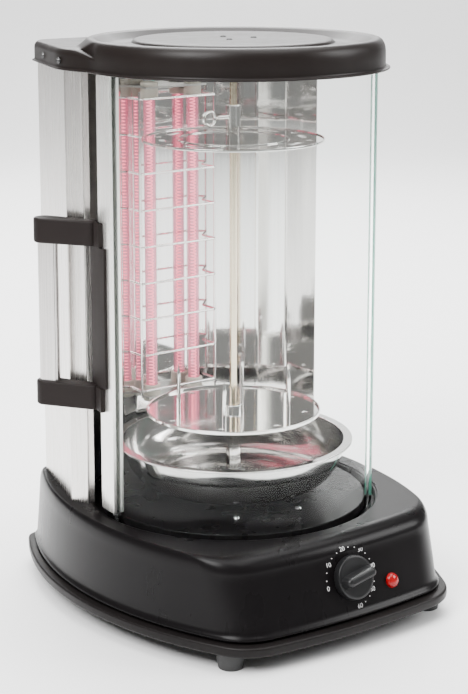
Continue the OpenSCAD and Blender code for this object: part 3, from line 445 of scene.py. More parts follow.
quartz = material("quartz tube", skin, {
    "Colour": rgb(0.86, 0.6, 0.66), "Worn colour": rgb(0.9, 0.7, 0.75), "Gloss": 0.16,
    "Gloss spread": 0.12, "Pebble size": 700.0},
    {"Emission Color": rgb(1.0, 0.12, 0.32), "Emission Strength": 0.1, "Transmission Weight": 0.8, "IOR": 1.12},
    0.1, 0.0002)


# Clear glass that light passes straight through on its way to shade what is behind it.
def clearGlass(name, tint, roughness):
    m = bpy.data.materials.new(name)
    m.use_nodes = True
    t = m.node_tree
    p = t.nodes["Principled BSDF"]
    p.inputs["Transmission Weight"].default_value = 1.0
    p.inputs["IOR"].default_value = 1.02
    p.inputs["Metallic"].default_value = 0.0
    p.inputs["Coat Weight"].default_value = 0.12
    p.inputs["Coat Roughness"].default_value = 0.0
    g = put(t, "ShaderNodeGroup", node_tree=skin)
    g.inputs["Colour"].default_value = tint
    g.inputs["Worn colour"].default_value = tint[:3] + (1,)
    g.inputs["Gloss"].default_value = roughness
    g.inputs["Gloss spread"].default_value = 0.01
    g.inputs["Pebble size"].default_value = 400.0
    t.links.new(g.outputs["Colour"], p.inputs["Base Color"])
    t.links.new(g.outputs["Roughness"], p.inputs["Roughness"])
    clear = put(t, "ShaderNodeBsdfTransparent")
    clear.inputs["Color"].default_value = (0.93, 0.97, 0.955, 1)
    path = put(t, "ShaderNodeLightPath")
    mix = put(t, "ShaderNodeMixShader")
    out = t.nodes["Material Output"]
    t.links.new(path.outputs["Is Shadow Ray"], mix.inputs[0])
    t.links.new(p.outputs[0], mix.inputs[1])
    t.links.new(clear.outputs[0], mix.inputs[2])
    t.links.new(mix.outputs[0], out.inputs["Surface"])
    return m


paneGlass = clearGlass("pane glass", rgb(0.97, 0.995, 0.985), 0.0)
edgeGlass = material("ground glass edge", skin, {
    "Colour": rgb(0.07, 0.3, 0.22), "Worn colour": rgb(0.16, 0.42, 0.33), "Gloss": 0.3, "Gloss spread": 0.15,
    "Pebble size": 1200.0}, {}, 0.1, 0.0001)


def finish(ob, mat, body, slotName, *replaced):
    ob.data.materials.clear()
    ob.data.materials.append(mat)
    ob.name = ob.name.split(".")[0] + "_piece"
    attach(ob, body)
    if replaced:
        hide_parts(*replaced)
    return ob


print("materials ready")

# Plates cut from sheet: a filled outline with holes, its edges rounded.
def circlePoints(x, y, r, n=32):
    a = np.linspace(0, 2 * np.pi, n, endpoint=False)
    return np.stack([x + r * np.cos(a), y + r * np.sin(a)], 1)


def cutPlate(name, outlines, z0, z1, bevel):
    curve = bpy.data.curves.new(name, "CURVE")
    curve.dimensions = "2D"
    curve.fill_mode = "BOTH"
    curve.extrude = (z1 - z0) / 2 - bevel
    curve.bevel_depth = bevel
    curve.bevel_resolution = 2
    curve.offset = -bevel
    for outline in outlines:
        p = np.asarray(outline, float)
        s = curve.splines.new("POLY")
        s.points.add(len(p) - 1)
        s.points.foreach_set("co", np.column_stack([p, np.zeros(len(p)), np.ones(len(p))]).ravel())
        s.use_cyclic_u = True
    ob = bpy.data.objects.new(name, curve)
    scene.collection.objects.link(ob)
    mesh = bpy.data.meshes.new_from_object(ob.evaluated_get(bpy.context.evaluated_depsgraph_get()))
    bpy.data.objects.remove(ob)
    bm = bmesh.new()
    bm.from_mesh(mesh)
    bmesh.ops.remove_doubles(bm, verts=bm.verts, dist=1e-6)
    bmesh.ops.recalc_face_normals(bm, faces=bm.faces)
    bm.to_mesh(mesh)
    bm.free()
    mesh.transform(Matrix.Translation((0, 0, (z0 + z1) / 2)))
    mesh.polygons.foreach_set("use_smooth", np.ones(len(mesh.polygons), bool))
    mesh.set_sharp_from_angle(angle=math.radians(40))
    mesh.name = name
    ob = bpy.data.objects.new(name, mesh)
    scene.collection.objects.link(ob)
    evenNormals(ob)
    return ob


def sectorOutline(r0, r1, a0, a1, corner=0.0008, steps=90):
    a = np.radians(np.linspace(a0, a1, steps))
    ring = np.stack([np.cos(a), np.sin(a)], 1)
    pts = np.vstack([ring * r1, (ring * r0)[::-1]])
    cut = np.zeros(len(pts))
    cut[[0, steps - 1, steps, -1]] = corner
    return soften(pts, cut, closed=True)


# Base: the shell, the band under it, the platform and the feet.
base = dict(sideArc=0.300, frontArc=0.650, rearArc=0.600, widestY=0.005, frontCorner=0.042, rearCorner=0.012,
            columns=480, bandInset=0.0065, wallInset=0.009, wallHighInset=0.0125, frontLow=0.011, lean=0.0125,
            shoulderFront=0.016, shoulderSide=0.004, shoulderDrop=0.014, stepDrop=0.0015, stepWide=0.0015,
            wall=0.0025, shelf=0.002, shelfIn=0.0115)
slotR = platformR + 0.009
stepR = slotR + base["stepWide"]
halfW, front, rear = float(bandHigh[0]), -float(bandLow[1]), float(bandHigh[1])
theta = np.linspace(0, 2 * np.pi, base["columns"], endpoint=False)


# Where circles about a and b meet, on the right of the line from a to b.
def meet(a, ra, b, rb):
    d = b - a
    l = np.linalg.norm(d)
    k = (ra * ra - rb * rb + l * l) / (2 * l)
    h = math.sqrt(ra * ra - k * k)
    return a + d * k / l + np.array([d[1], -d[0]]) * h / l


# The base's outline as a radius for each direction: five arcs a side, each tangent to the next.
def outlineRadius(halfW, front, rear, directions):
    b = base
    side = np.array([halfW - b["sideArc"], b["widestY"]])
    fore = np.array([0, b["frontArc"] - front])
    back = np.array([0, rear - b["rearArc"]])
    foreK = meet(side, b["sideArc"] - b["frontCorner"], fore, b["frontArc"] - b["frontCorner"])
    backK = meet(back, b["rearArc"] - b["rearCorner"], side, b["sideArc"] - b["rearCorner"])
    heading = lambda v: math.atan2(v[1], v[0])
    turns = [-np.pi / 2, heading(foreK - fore), heading(foreK - side), heading(backK - side),
             heading(backK - back), np.pi / 2]
    arcs = [(fore, b["frontArc"]), (foreK, b["frontCorner"]), (side, b["sideArc"]), (backK, b["rearCorner"]),
            (back, b["rearArc"])]
    pts = []
    for (c, r), t0, t1 in zip(arcs, turns[:-1], turns[1:]):
        t = np.linspace(t0, t1, 60)
        pts.append(c + r * np.stack([np.cos(t), np.sin(t)], 1))
    p = np.concatenate(pts)
    ang = np.arctan2(p[:, 1], p[:, 0])
    keep = np.concatenate([[True], np.diff(ang) > 1e-7])
    ang, rad = ang[keep], np.hypot(p[:, 0], p[:, 1])[keep]
    d = (directions + np.pi) % (2 * np.pi) - np.pi
    d = np.where(np.abs(d) > np.pi / 2, np.sign(d) * np.pi - d, d)  # the left side mirrors the right
    return np.interp(d, ang, rad)


# Rings about the upright axis: each row is a radius and a height, each one value or one value a direction.
def ringRows(rows):
    r, z = (np.stack([np.broadcast_to(row[k], theta.shape) for row in rows]) for k in (0, 1))
    return np.stack([r * np.cos(theta), r * np.sin(theta), z], -1)


# One closed skin: from the lip up the leaning wall, over the shoulder, across the flat top, down the
# round step into the glass slot, along the shelf under it and back down inside the wall.
def makeBaseShell():
    b = base
    lipZ, topZ = float(shellLow[2]), float(shellHigh[2])
    lowZ = lipZ + 0.007
    highZ = topZ - b["shoulderDrop"]
    lowFront = front - b["frontLow"]
    highFront = lowFront - b["lean"]

    def at(halfIn, frontAt, rearIn, d=0.0):
        return outlineRadius(halfW - halfIn - d, frontAt - d, rear - rearIn - d, theta)

    lip = at(b["bandInset"], lowFront + 0.0035, b["bandInset"])
    wall = at(b["wallInset"], lowFront, b["wallInset"])
    rows = [(lip - b["wall"], lipZ), (lip - 0.0008, lipZ), (lip - 0.0002, lipZ + 0.0004), (lip, lipZ + 0.0012),
            (lip * 0.97 + wall * 0.03, lipZ + 0.0022), (lip * 0.6 + wall * 0.4, lipZ + 0.0034),
            (lip * 0.2 + wall * 0.8, lipZ + 0.005), (wall, lowZ), (wall * 0.9 + 0.1 * at(
                b["wallHighInset"] - 0.0001, highFront, b["wallInset"]), lowZ + 0.1 * (highZ - lowZ))]
    for k in (0.35, 0.65, 0.9):
        rows.append((at(b["wallInset"] + k * (b["wallHighInset"] - b["wallInset"]), lowFront - k * b["lean"],
                        b["wallInset"]), lowZ + k * (highZ - lowZ)))
    rise = topZ - highZ
    for t in np.linspace(0, np.pi / 2, 11):
        s = b["shoulderSide"] * (math.cos(t) - 1)
        r = outlineRadius(halfW - b["wallHighInset"] + s, highFront + b["shoulderFront"] * (math.cos(t) - 1),
                          rear - b["wallInset"] + s, theta)
        rows.append((r, highZ + rise * math.sin(t)))
    edge = rows[-1][0]
    for k in (0.04, 0.3, 0.6, 0.9):
        rows.append((edge + (stepR + 0.0012 - edge) * k, topZ))
    rows += [(stepR + 0.0008, topZ), (stepR + 0.0002, topZ - 0.0002), (stepR, topZ - 0.0006),
             (stepR, topZ - b["stepDrop"]), (slotR + 0.0004, topZ - b["stepDrop"] - 0.00005),
             (slotR, topZ - b["stepDrop"] - 0.0005), (slotR, slotZ + 0.0003), (slotR - 0.0003, slotZ),
             (platformR - 0.004, slotZ), (platformR - b["shelfIn"], slotZ),
             (platformR - b["shelfIn"], slotZ - b["shelf"]),
             (slotR + b["wall"], slotZ - b["shelf"]), (slotR + b["wall"], topZ - b["wall"])]
    inner = at(b["wallInset"], lowFront, b["wallInset"], b["wall"])
    rows += [(edge - 0.004, topZ - b["wall"]), (edge - 0.001, topZ - 2 * b["wall"]),
             (at(b["wallHighInset"], highFront, b["wallInset"], b["wall"]), highZ - 0.001), (inner, lowZ)]
    return gridObject("shell", ringRows(rows), wrapRows=True, smoothAngle=50)


finish(makeBaseShell(), baseBlack, "base", "black_enamel", "base_shell")


band = dict(inner=(0.014, 0.020, 0.014), ledge=(0.0095, 0.0125, 0.0095), high=0.008, floor=0.002,
            slot=(0.004, 0.040), slotStep=0.012, slotY=0.062, footHole=0.0023,
            feet=((0.051, 0.035), (0.060, 0.032)))


# The band: a rim with rounded edges and a lower ledge that carries the shell's lip, round a slotted floor.
def makeBand():
    b = band
    z0, z1 = float(bandLow[2]), float(bandLow[2]) + b["high"]
    at = lambda d: outlineRadius(halfW - d, front - d, rear - d, theta)
    ledge, inner = (outlineRadius(halfW - x, front - y, rear - y2, theta) for x, y, y2 in (b["ledge"], b["inner"]))
    rows = [(inner, z0), (at(0.004), z0), (at(0.0012), z0 + 0.0003), (at(0.0003), z0 + 0.0012),
            (at(0), z0 + 0.0025),
            (at(0), z1 - 0.0018), (at(0.0003), z1 - 0.0008), (at(0.001), z1 - 0.0002), (at(0.002), z1),
            (ledge + 0.002, z1 + 0.0001), (ledge, z1 + 0.0003), (ledge, float(bandHigh[2])),
            (ledge - 0.004, float(bandHigh[2])), (inner, z0 + b["floor"] + 0.001)]
    rim = gridObject("band", ringRows(rows), wrapRows=True, smoothAngle=50)
    edge = np.stack([(inner + 0.0004) * np.cos(theta), (inner + 0.0004) * np.sin(theta)], 1)
    w, h = np.array(b["slot"]) / 2
    slots = [soften(np.array([(-w, -h), (w, -h), (w, h), (-w, h)]) + [k * b["slotStep"], y], w * 0.9, closed=True)
             for k in range(-3, 4) for y in (-b["slotY"], b["slotY"])]
    (fx, fy), (rx, ry) = b["feet"]
    holes = [circlePoints(s * x, y, b["footHole"]) for s in (-1, 1)
             for x, y in ((halfW - fx, fy - front), (halfW - rx, rear - ry))]
    floor = cutPlate("floor plate", [edge] + slots + holes, z0 + 0.00005, z0 + b["floor"], 0.0002)
    return joined("band", [rim, floor])


finish(makeBand(), bandBlack, "base", "band_black", "bottom_plate")


# A turned disc with a drawn-down rim that stands in the slot.
def makePlatform():
    z, r = platformZ, platformR
    profile = soften([(0.0038, z - 0.0016), (0.0038, z), (r, z), (r, slotZ), (r - 0.0015, slotZ),
                      (r - 0.0015, z - 0.0016)], [0.0001, 0.0004, 0.0009, 0.0004, 0.0004, 0.0002], closed=True)
    return lathe("platform", profile, 256, closed=True)


finish(makePlatform(), baseBlack, "base", "black_enamel", "platform_plate")


feet = dict(radius=0.011, rearIn=0.009, bore=0.0023, pocket=0.004, taper=0.86, waist=0.55, edge=0.0007)


def makeFeet():
    f = feet
    lo, hi = span("feet")
    r, h = f["radius"], float(hi[2])
    profile = soften([(f["bore"], f["pocket"]), (f["pocket"], f["pocket"]), (f["pocket"], 0), (r * f["taper"], 0),
                      (r, h * f["waist"]), (r, h), (f["bore"], h)], f["edge"], closed=True)
    out = []
    for side in (-1, 1):
        for x, y in ((hi[0] - r, lo[1] + r), (hi[0] - r - f["rearIn"], hi[1] - r)):
            out.append(lathe("foot", profile, 48, (side * x, y, 0), closed=True))
    return joined("feet", out)


finish(makeFeet(), footRubber, "base", "foot_rubber", "feet")
print("base ready")


# Rear housing: folded sheets seen from above, raised to the chamber's height.
housing = dict(front=(stepR - 0.003, stepR - 0.079), crease=(stepR + 0.004, stepR - 0.065),
               corner=(stepR - 0.022, stepR + 0.022), back=stepR + 0.028, cut=stepR - 0.029, sheet=0.001,
               fold=(-0.0065, 0.0005), tab=0.013, bend=0.0016)


def housingPath():
    h = housing
    front, crease, corner = (np.array(h[k]) for k in ("front", "crease", "corner"))
    cut = np.array([h["cut"], h["back"]])
    return np.array([front + h["fold"], front, crease, corner, cut, cut - [h["tab"], 0]])


def makeSidePanel(side):
    path = soften(housingPath(), housing["bend"], 6)
    outline = stripOutline(path, housing["sheet"])
    outline[:, 0] *= side
    return prism("side_panel_" + ("left" if side < 0 else "right"), outline, platformZ, ceilLow, 0.00025, 2)


finish(makeSidePanel(-1), housingSteel, "base", "housing_steel", "side_panel_left")
finish(makeSidePanel(1), housingSteel, "base", "housing_steel", "side_panel_right")


cover = dict(corner=0.003, slotHalf=0.002, slotLong=0.042, slotCorner=0.0019, slotAt=(0.16, 0.42, 0.68),
             slotDrop=0.002, span=0.356, columns=5, columnStep=0.011, edge=0.0003)


def makeRearCover():
    c = cover
    lo, hi = span("rear_cover")
    x, z, t = hi[0], hi[2] - lo[2], hi[1] - lo[1]
    plate = soften([(-x, 0), (x, 0), (x, z), (-x, z)], c["corner"], closed=True)
    w, h = c["slotHalf"], c["slotLong"]
    holes = [soften([(cx - w, cz), (cx + w, cz), (cx + w, cz + h), (cx - w, cz + h)], c["slotCorner"], closed=True)
             for cz in c["span"] * np.array(c["slotAt"]) - c["slotDrop"]
             for cx in np.arange(-c["columns"], c["columns"] + 1) * c["columnStep"]]
    ob = cutPlate("rear_cover", [plate] + holes, 0, t, c["edge"])
    return place(ob, Matrix.Translation((0, hi[1], lo[2])) @ Matrix.Rotation(math.radians(90), 4, "X"))


finish(makeRearCover(), housingSteel, "base", "housing_steel", "rear_cover")

reflector = dict(radius=0.106, facets=(12, 28, 43, 63, 73), thick=0.0008, bend=0.0022)


def makeReflector():
    r = reflector
    a = np.radians(list(r["facets"]) + [180 - v for v in reversed(r["facets"])])
    path = soften(r["radius"] * np.stack([np.cos(a), np.sin(a)], 1), r["bend"], 4)
    return prism("reflector", stripOutline(path, r["thick"]), platformZ, ceilLow, 0.0002, 2, 25)


finish(makeReflector(), mirrorSteel, "base", "mirror_steel", "reflector")
print("housing ready")

# Heating tubes, their coils, ends and guard.
heater = dict(tube=0.005, wall=0.001, edge=0.0003, coilTurns=90, coilRadius=0.0021, coilWire=0.0004, coilIn=0.002,
              cap=0.0075, capHigh=0.014, socket=0.0051, socketFloor=0.008, capEdge=0.0008)
guard = dict(wire=0.001, rungs=9, rungIn=0.006, legBehind=0.0016, backIn=0.0003, bend=0.003)
heatLow, heatHigh = span("heating_tubes")
tubeR = heater["tube"]
tubeX, tubeY = float(heatHigh[0]) - tubeR, float(heatHigh[1]) - tubeR


def makeTubes():
    z0, z1 = float(heatLow[2]), float(heatHigh[2])
    bore = tubeR - heater["wall"]
    wall = soften([(bore, z0), (tubeR, z0), (tubeR, z1), (bore, z1)], heater["edge"], closed=True)
    return joined("tubes", [lathe("tube", wall, 48, (s * tubeX, tubeY, 0), closed=True) for s in (-1, 1)])


# The coil is a helix: x = r cos t, y = r sin t, z rising evenly with t.
def makeCoils():
    h = heater
    z0, z1 = float(heatLow[2]) + h["coilIn"], float(heatHigh[2]) - h["coilIn"]
    t = np.linspace(0, h["coilTurns"] * 2 * np.pi, h["coilTurns"] * 12)
    path = np.stack([h["coilRadius"] * np.cos(t), h["coilRadius"] * np.sin(t), z0 + (z1 - z0) * t / t[-1]], 1)
    return joined("coils", [tube("coil", path + [s * tubeX, tubeY, 0], h["coilWire"], 6) for s in (-1, 1)])


def makeCaps():
    h = heater
    lo, hi = span("heater_caps")
    profile = soften([(0, 0), (h["cap"], 0), (h["cap"], h["capHigh"]), (h["socket"], h["capHigh"]),
                      (h["socket"], h["socketFloor"]), (0, h["socketFloor"])],
                     [0, h["capEdge"], h["capEdge"], h["edge"], 0, 0])
    out = []
    for s in (-1, 1):
        for start, up in ((float(lo[2]), 1), (float(hi[2]), -1)):
            p = np.column_stack([profile[:, 0], start + up * profile[:, 1]])
            out.append(lathe("cap", p, 48, (s * tubeX, tubeY, 0)))
    return joined("caps", out)


def makeGuard():
    g = guard
    lo, hi = span("heater_guard")
    r = g["wire"]
    w, y, back = float(hi[0]) - r, float(lo[1]) + r, float(hi[1]) - g["backIn"]
    low, high, leg = float(lo[2]), float(hi[2]), float(lo[1]) + r + g["legBehind"]
    out = [tube("upright", [(s * w, leg, low), (s * w, leg, high)], r, 12) for s in (-1, 1)]
    for z in np.linspace(low + g["rungIn"], high - g["rungIn"], g["rungs"]):
        path = soften([(-w, back, z), (-w, y, z), (w, y, z), (w, back, z)], g["bend"], 6)
        out.append(tube("wire", path, r, 12))
    return joined("guard", out)


finish(makeTubes(), quartz, "base", "quartz", "heating_tubes")
finish(makeCoils(), coilGlow, "base", "coil_wire", "heating_coils")
finish(makeCaps(), ceramic, "base", "ceramic_white", "heater_caps")
finish(makeGuard(), mirrorSteel, "base", "mirror_steel", "heater_guard")
print("heaters ready")

# Lid: a round dome with a sunk ring, blended into a lower tail over the housing.
lid = dict(edge=0.0035, crest=0.011, moat=0.030, plateau=0.046, dome=0.024, tail=0.017, lip=0.0022,
           outside=0.003, corner=0.007, tailCorner=0.018, rearCorner=0.017, edgeRound=0.0055, blendFrom=5,
           blendOver=17)


def polarRadius(outline, directions):
    p = np.asarray(outline, float)
    q = np.roll(p, -1, 0)
    d = np.stack([np.cos(directions), np.sin(directions)], 1)
    e = q - p
    cross = d[:, None, 0] * e[None, :, 1] - d[:, None, 1] * e[None, :, 0]
    safe = np.where(np.abs(cross) < 1e-12, 1e-12, cross)
    t = (p[None, :, 0] * e[None, :, 1] - p[None, :, 1] * e[None, :, 0]) / safe
    s = (p[None, :, 0] * d[:, None, 1] - p[None, :, 1] * d[:, None, 0]) / safe
    return np.where((s >= -1e-6) & (s <= 1 + 1e-6) & (t > 0), t, 0).max(1)


# Each row runs round the lid: a radius for every direction and a height, with the outline swelling at the
# back into the tail, where the height drops from the dome's to the tail's.
def makeLid():
    d = lid
    z0, r0 = float(lidLow[2]), -float(lidLow[1])
    skirt = r0 - d["edge"]
    front, crease, corner = (np.array(housing[k]) for k in ("front", "crease", "corner"))
    right = np.array([front - [0, 0.016], crease, corner, (housing["cut"], housing["back"]), (0, housing["back"])])
    strip = stripOutline(right, -d["outside"])
    right = strip[len(right):][::-1]
    plan = np.vstack([[(0, 0.02)], right, (right * [-1, 1])[::-1][1:]])
    cut = np.full(len(plan), d["corner"])
    cut[[0, 1, -1]] = 0
    cut[[len(right)]] = 0
    cut[[2, -2]] = d["tailCorner"]
    cut[[3, -3]] = d["rearCorner"]
    tail = polarRadius(soften(plan, cut, 10, closed=True), theta)
    tail = np.where(np.sin(theta) > 0, tail, 0)
    edge = np.maximum(skirt, tail)
    bell = np.exp(-0.5 * (np.arange(-12, 13) / 3.0) ** 2)
    soft = np.convolve(np.pad(edge, 12, mode="wrap"), bell / bell.sum(), "valid")
    side = np.clip((0.72 - np.abs(np.sin(theta))) / 0.2, 0, 1)
    edge = edge * (1 - side) + soft * side
    rise = np.degrees(np.arcsin(np.clip(np.sin(theta), 0, 1)))
    w = np.clip((rise - d["blendFrom"]) / d["blendOver"], 0, 1)
    w = w * w * (3 - 2 * w)
    lipR = np.maximum(r0, edge + d["lip"])

    def blend(a, b):  # the dome's value in front, the tail's at the back
        return a * (1 - w) + b * w

    crest, moat, plateau = r0 - d["crest"], r0 - d["moat"], r0 - d["plateau"]
    top, low = d["dome"], d["tail"]
    rows = soften([(0.0004, top - 0.001), (plateau - 0.003, top - 0.001), (plateau + 0.0005, top - 0.0018),
                   (plateau + 0.004, top - 0.006), (moat - 0.006, top - 0.0078), (moat, top - 0.008),
                   (moat + 0.006, top - 0.007), (crest - 0.003, top - 0.0006), (crest, top)],
                  [0, 0.002, 0.002, 0.003, 0.005, 0.003, 0.005, 0.0015, 0], 4).tolist()
    for k in np.linspace(0.12, 1, 9):  # a round shoulder on the dome's side, an S down to the tail at the back
        roundR = crest + (skirt - crest) * math.sin(k * np.pi / 2) ** 0.9
        roundZ = low * 0.62 + (top - low * 0.62) * math.cos(k * np.pi / 2) ** 0.75
        tailR = crest + (skirt + 0.004 - crest) * k
        rows.append((blend(roundR, np.minimum(tailR, edge - 0.0062)),
                     blend(roundZ, top + (low - top) * k * k * (3 - 2 * k))))
    for k in np.linspace(0.2, 1, 5):
        into = d["edgeRound"] * (1 - math.sin(k * np.pi / 2))
        down = d["edgeRound"] * (1 - math.cos(k * np.pi / 2))
        rows.append((blend(edge, edge - into), blend(low * (0.62 - 0.1 * k), low - down)))
    rows += [(edge + out, z) for out, z in ((0, 0.0034), (0.0001, 0.0024), (0.0005, 0.0017), (0.0012, 0.0014))]
    rows += [(lipR - into, z) for into, z in ((0.0006, 0.0014), (0.0001, 0.0011), (0, 0.0007), (0.0002, 0.0002),
                                              (0.0007, 0))]
    rows += [(edge - 0.0016, 0), (edge - 0.0016, 0.002), (edge - 0.0018, blend(low * 0.5, low - 0.0045)),
             (crest, blend(top - 0.0035, low - 0.0014)), (moat, top - 0.0095), (plateau - 0.001, top - 0.0026),
             (0.0004, top - 0.0026)]
    return gridObject("lid", ringRows([(r, z0 + z) for r, z in rows]), wrapRows=True, smoothAngle=60)


finish(makeLid(), lidBlack, "base", "lid_black", "lid")
print("lid ready")

# Door: curved pane, ground edge, upright channel, brackets and bar.
door = dict(start=-188.0, end=-32.0, edge=0.5, frameStart=-189.5, frameArc=10.0, frameIn=0.1088,
            frameOut=0.1185, glassIn=0.1115, glassOut=0.1155, grip=0.0001, frameEdge=0.0009)
handle = dict(turn=-48.2, reach=0.061, armFrom=0.0115, root=0.006, tip=0.0085, armEdge=0.0016, pad=4.5,
              padThick=0.004,
              padEdge=0.0012, bar=0.0043, barFrom=0.016, barTo=0.0075, ribs=22, ribDeep=0.00022, steps=480,
              backThick=0.0025, backOver=5.5, backArc=12.5)
glassIn, glassOut = door["glassIn"], door["glassOut"]


def makePane():
    d = door
    outline = sectorOutline(glassIn, glassOut, d["start"], d["end"] - d["edge"], 0.0001, 160)
    return prism("pane", outline, float(glassLow[2]), float(glassHigh[2]), 0.0003, 2)


def makePaneEdge():
    d = door
    outline = sectorOutline(glassIn + 0.00005, glassOut - 0.00005, d["end"] - d["edge"] + 0.01, d["end"],
                            0.0007, 6)
    return prism("pane_edge", outline, float(glassLow[2]) + 0.0003, float(glassHigh[2]) - 0.0003, 0.0003, 2)


finish(makePane(), paneGlass, "door", "glass", "door_glass")
finish(makePaneEdge(), edgeGlass, "door", "glass")


def arcPoints(r, a0, a1, n=24):
    a = np.radians(np.linspace(a0, a1, n))
    return np.stack([r * np.cos(a), r * np.sin(a)], 1)


def makeFrame():
    d = door
    lo, hi = span("door_frame")
    a0, a1 = d["frameStart"], d["frameStart"] + d["frameArc"]
    outline = np.vstack([arcPoints(d["frameOut"], a0, a1), arcPoints(glassOut + d["grip"], a1, d["start"] + 0.1),
                         arcPoints(glassIn - d["grip"], d["start"] + 0.1, a1), arcPoints(d["frameIn"], a1, a0)])
    cut = np.zeros(len(outline))
    cut[[0, 23, 24, 71, 72, 95]] = d["frameEdge"]
    return prism("frame", soften(outline, cut, closed=True), float(lo[2]), float(hi[2]), 0.0004, 3)


finish(makeFrame(), frameMetal, "door", "frame_aluminium", "door_frame")

onHandle = (Matrix.Rotation(math.radians(door["frameStart"] + 2.5), 4, "Z")
            @ Matrix.Translation((door["frameOut"], 0, 0)) @ Matrix.Rotation(math.radians(handle["turn"]), 4, "Z"))


# The outline of two circles joined by straight lines.
def capsule(x0, y0, r0, x1, y1, r1, n=40):
    a = math.atan2(y1 - y0, x1 - x0)
    lean = math.acos((r0 - r1) / math.hypot(x1 - x0, y1 - y0))
    t0 = np.linspace(a + lean, a + 2 * np.pi - lean, n)
    t1 = np.linspace(a - lean, a + lean, n)
    return np.vstack([np.stack([x0 + r0 * np.cos(t0), y0 + r0 * np.sin(t0)], 1),
                      np.stack([x1 + r1 * np.cos(t1), y1 + r1 * np.sin(t1)], 1)])


def makeBracket(name):
    d, h = door, handle
    lo, hi = span(name)
    z0, z1 = float(lo[2]), float(hi[2])
    outline = capsule(h["armFrom"], -h["root"], h["root"], h["reach"] - h["tip"], -h["tip"], h["tip"])
    arm = place(prism("arm", outline, z0, z1, h["armEdge"], 5), onHandle)
    outline = sectorOutline(d["frameOut"] + 0.00002, d["frameOut"] + h["padThick"], d["frameStart"],
                            d["frameStart"] + h["pad"], h["padEdge"], 30)
    return joined(name, [arm, prism("pad", outline, z0, z1, h["padEdge"], 4)])


finish(makeBracket("handle_bracket_upper"), handleBlack, "door", "handle_black", "handle_bracket_upper")
finish(makeBracket("handle_bracket_lower"), handleBlack, "door", "handle_black", "handle_bracket_lower")


def makeBackPlate():
    d, h = door, handle
    lo, hi = span("handle_back_plate")
    start = d["frameStart"] - h["backOver"]
    outline = sectorOutline(d["frameOut"] + 0.00003, d["frameOut"] + h["backThick"], start, start + h["backArc"],
                            0.0008, 40)
    return prism("back_plate", outline, float(lo[2]), float(hi[2]), 0.0003, 2)


finish(makeBackPlate(), handleBlack, "door", "handle_black", "handle_back_plate")


# The bar's outline is an oval with shallow upright ribs: its radius swells with a cosine round it.
def makeBar():
    h = handle
    lo, hi = span("handle_bar")
    y, n = 0.001 - h["tip"], h["steps"]
    p = capsule(h["reach"] - h["barFrom"], y, h["bar"], h["reach"] - h["barTo"], y, h["bar"], 120)
    closedP = np.vstack([p, p[:1]])
    at = np.append(0, np.cumsum(np.linalg.norm(np.diff(closedP, axis=0), axis=1)))
    even = np.linspace(0, at[-1], n, endpoint=False)
    p = np.stack([np.interp(even, at, closedP[:, 0]), np.interp(even, at, closedP[:, 1])], 1)
    p = p if turnsLeft(p) else p[::-1]
    e = np.roll(p, -1, 0) - np.roll(p, 1, 0)
    nrm = np.stack([-e[:, 1], e[:, 0]], 1) / np.linalg.norm(e, axis=1, keepdims=True)
    rib = h["ribDeep"] * (0.5 - 0.5 * np.cos(np.arange(n) * 2 * np.pi * h["ribs"] / n))
    return place(prism("bar", p + nrm * rib[:, None], float(lo[2]), float(hi[2]), 0.0002, 2, 50), onHandle)


finish(makeBar(), barMetal, "door", "frame_aluminium", "handle_bar")
print("door ready")

# Tray, spit and plates.
tray = dict(sheet=0.0009, floor=0.62, rimIn=0.0065, hole=0.0075, collar=0.004, rise=0.98, edgeDeep=0.0015,
            rimDeep=0.0024, fold=0.001, columns=14)
trayLow, trayHigh = span("drip_tray")


# The pan's section: flat floor with a square hole, a round wall, a flat rim and a rolled edge.
def makeTray():
    p = tray
    r, z0, z1 = float(trayHigh[0]), float(trayLow[2]), float(trayHigh[2])
    t, floorR, wallR = p["sheet"], r * p["floor"], r - p["rimIn"]
    square = p["hole"] / np.maximum(np.abs(np.cos(theta)), np.abs(np.sin(theta)))
    a = np.linspace(0, np.pi / 2, p["columns"])
    rise = (z1 - z0) * p["rise"]
    under = [(floorR + (wallR - floorR) * math.sin(v), z0 + rise * (1 - math.cos(v))) for v in a]
    over = [(floorR + (wallR - floorR - t) * math.sin(v), z0 + t + (rise - 1.1 * t) * (1 - math.cos(v)))
            for v in a]
    fold, deep = r - p["fold"], z1 - p["edgeDeep"]
    rim = soften([(wallR, z1 - p["rimDeep"]), (wallR + 0.0006, z1 - t), (fold, z1 - t), (fold, deep), (r, deep),
                  (r, z1), (wallR - t, z1), (wallR - t - 0.0001, z1 - 0.002)],
                 [0, 0.0006, 0.0003, 0.0004, 0.0004, 0.0008, 0.0006, 0])
    collar = square + p["collar"]
    rows = [(square, z0), (collar, z0)] + under[:-1] + rim.tolist() + over[::-1][1:]
    rows += [(collar, z0 + t), (square, z0 + t)]
    return gridObject("tray", ringRows(rows), wrapRows=True, smoothAngle=50)


finish(makeTray(), panSteel, "tray", "pan_steel", "drip_tray")


rod = dict(radius=0.003, tip=0.002, tipHigh=0.0025, start=0.003, footEdge=0.0006, footRound=0.0004)


def makeRod():
    d = rod
    lo, hi = span("spit_rod")
    z0, z1 = float(lo[2]), float(hi[2])
    bar = lathe("rod", soften([(0, z0 + d["start"]), (d["radius"], z0 + d["start"]),
                               (d["radius"], z1 - d["tipHigh"]),
                               (d["tip"], z1), (0, z1)], [0, 0, 0.001, 0.0008, 0]), 48)
    w = float(hi[0])
    footTop = float(span("lower_plate")[0][2])
    square = soften([(-w, -w), (w, -w), (w, w), (-w, w)], d["footEdge"], closed=True)
    return joined("rod", [bar, prism("foot", square, z0, footTop, d["footRound"], 3)])


finish(makeRod(), rodChromeWarmReflection, "spit", "plate_chrome", "spit_rod")


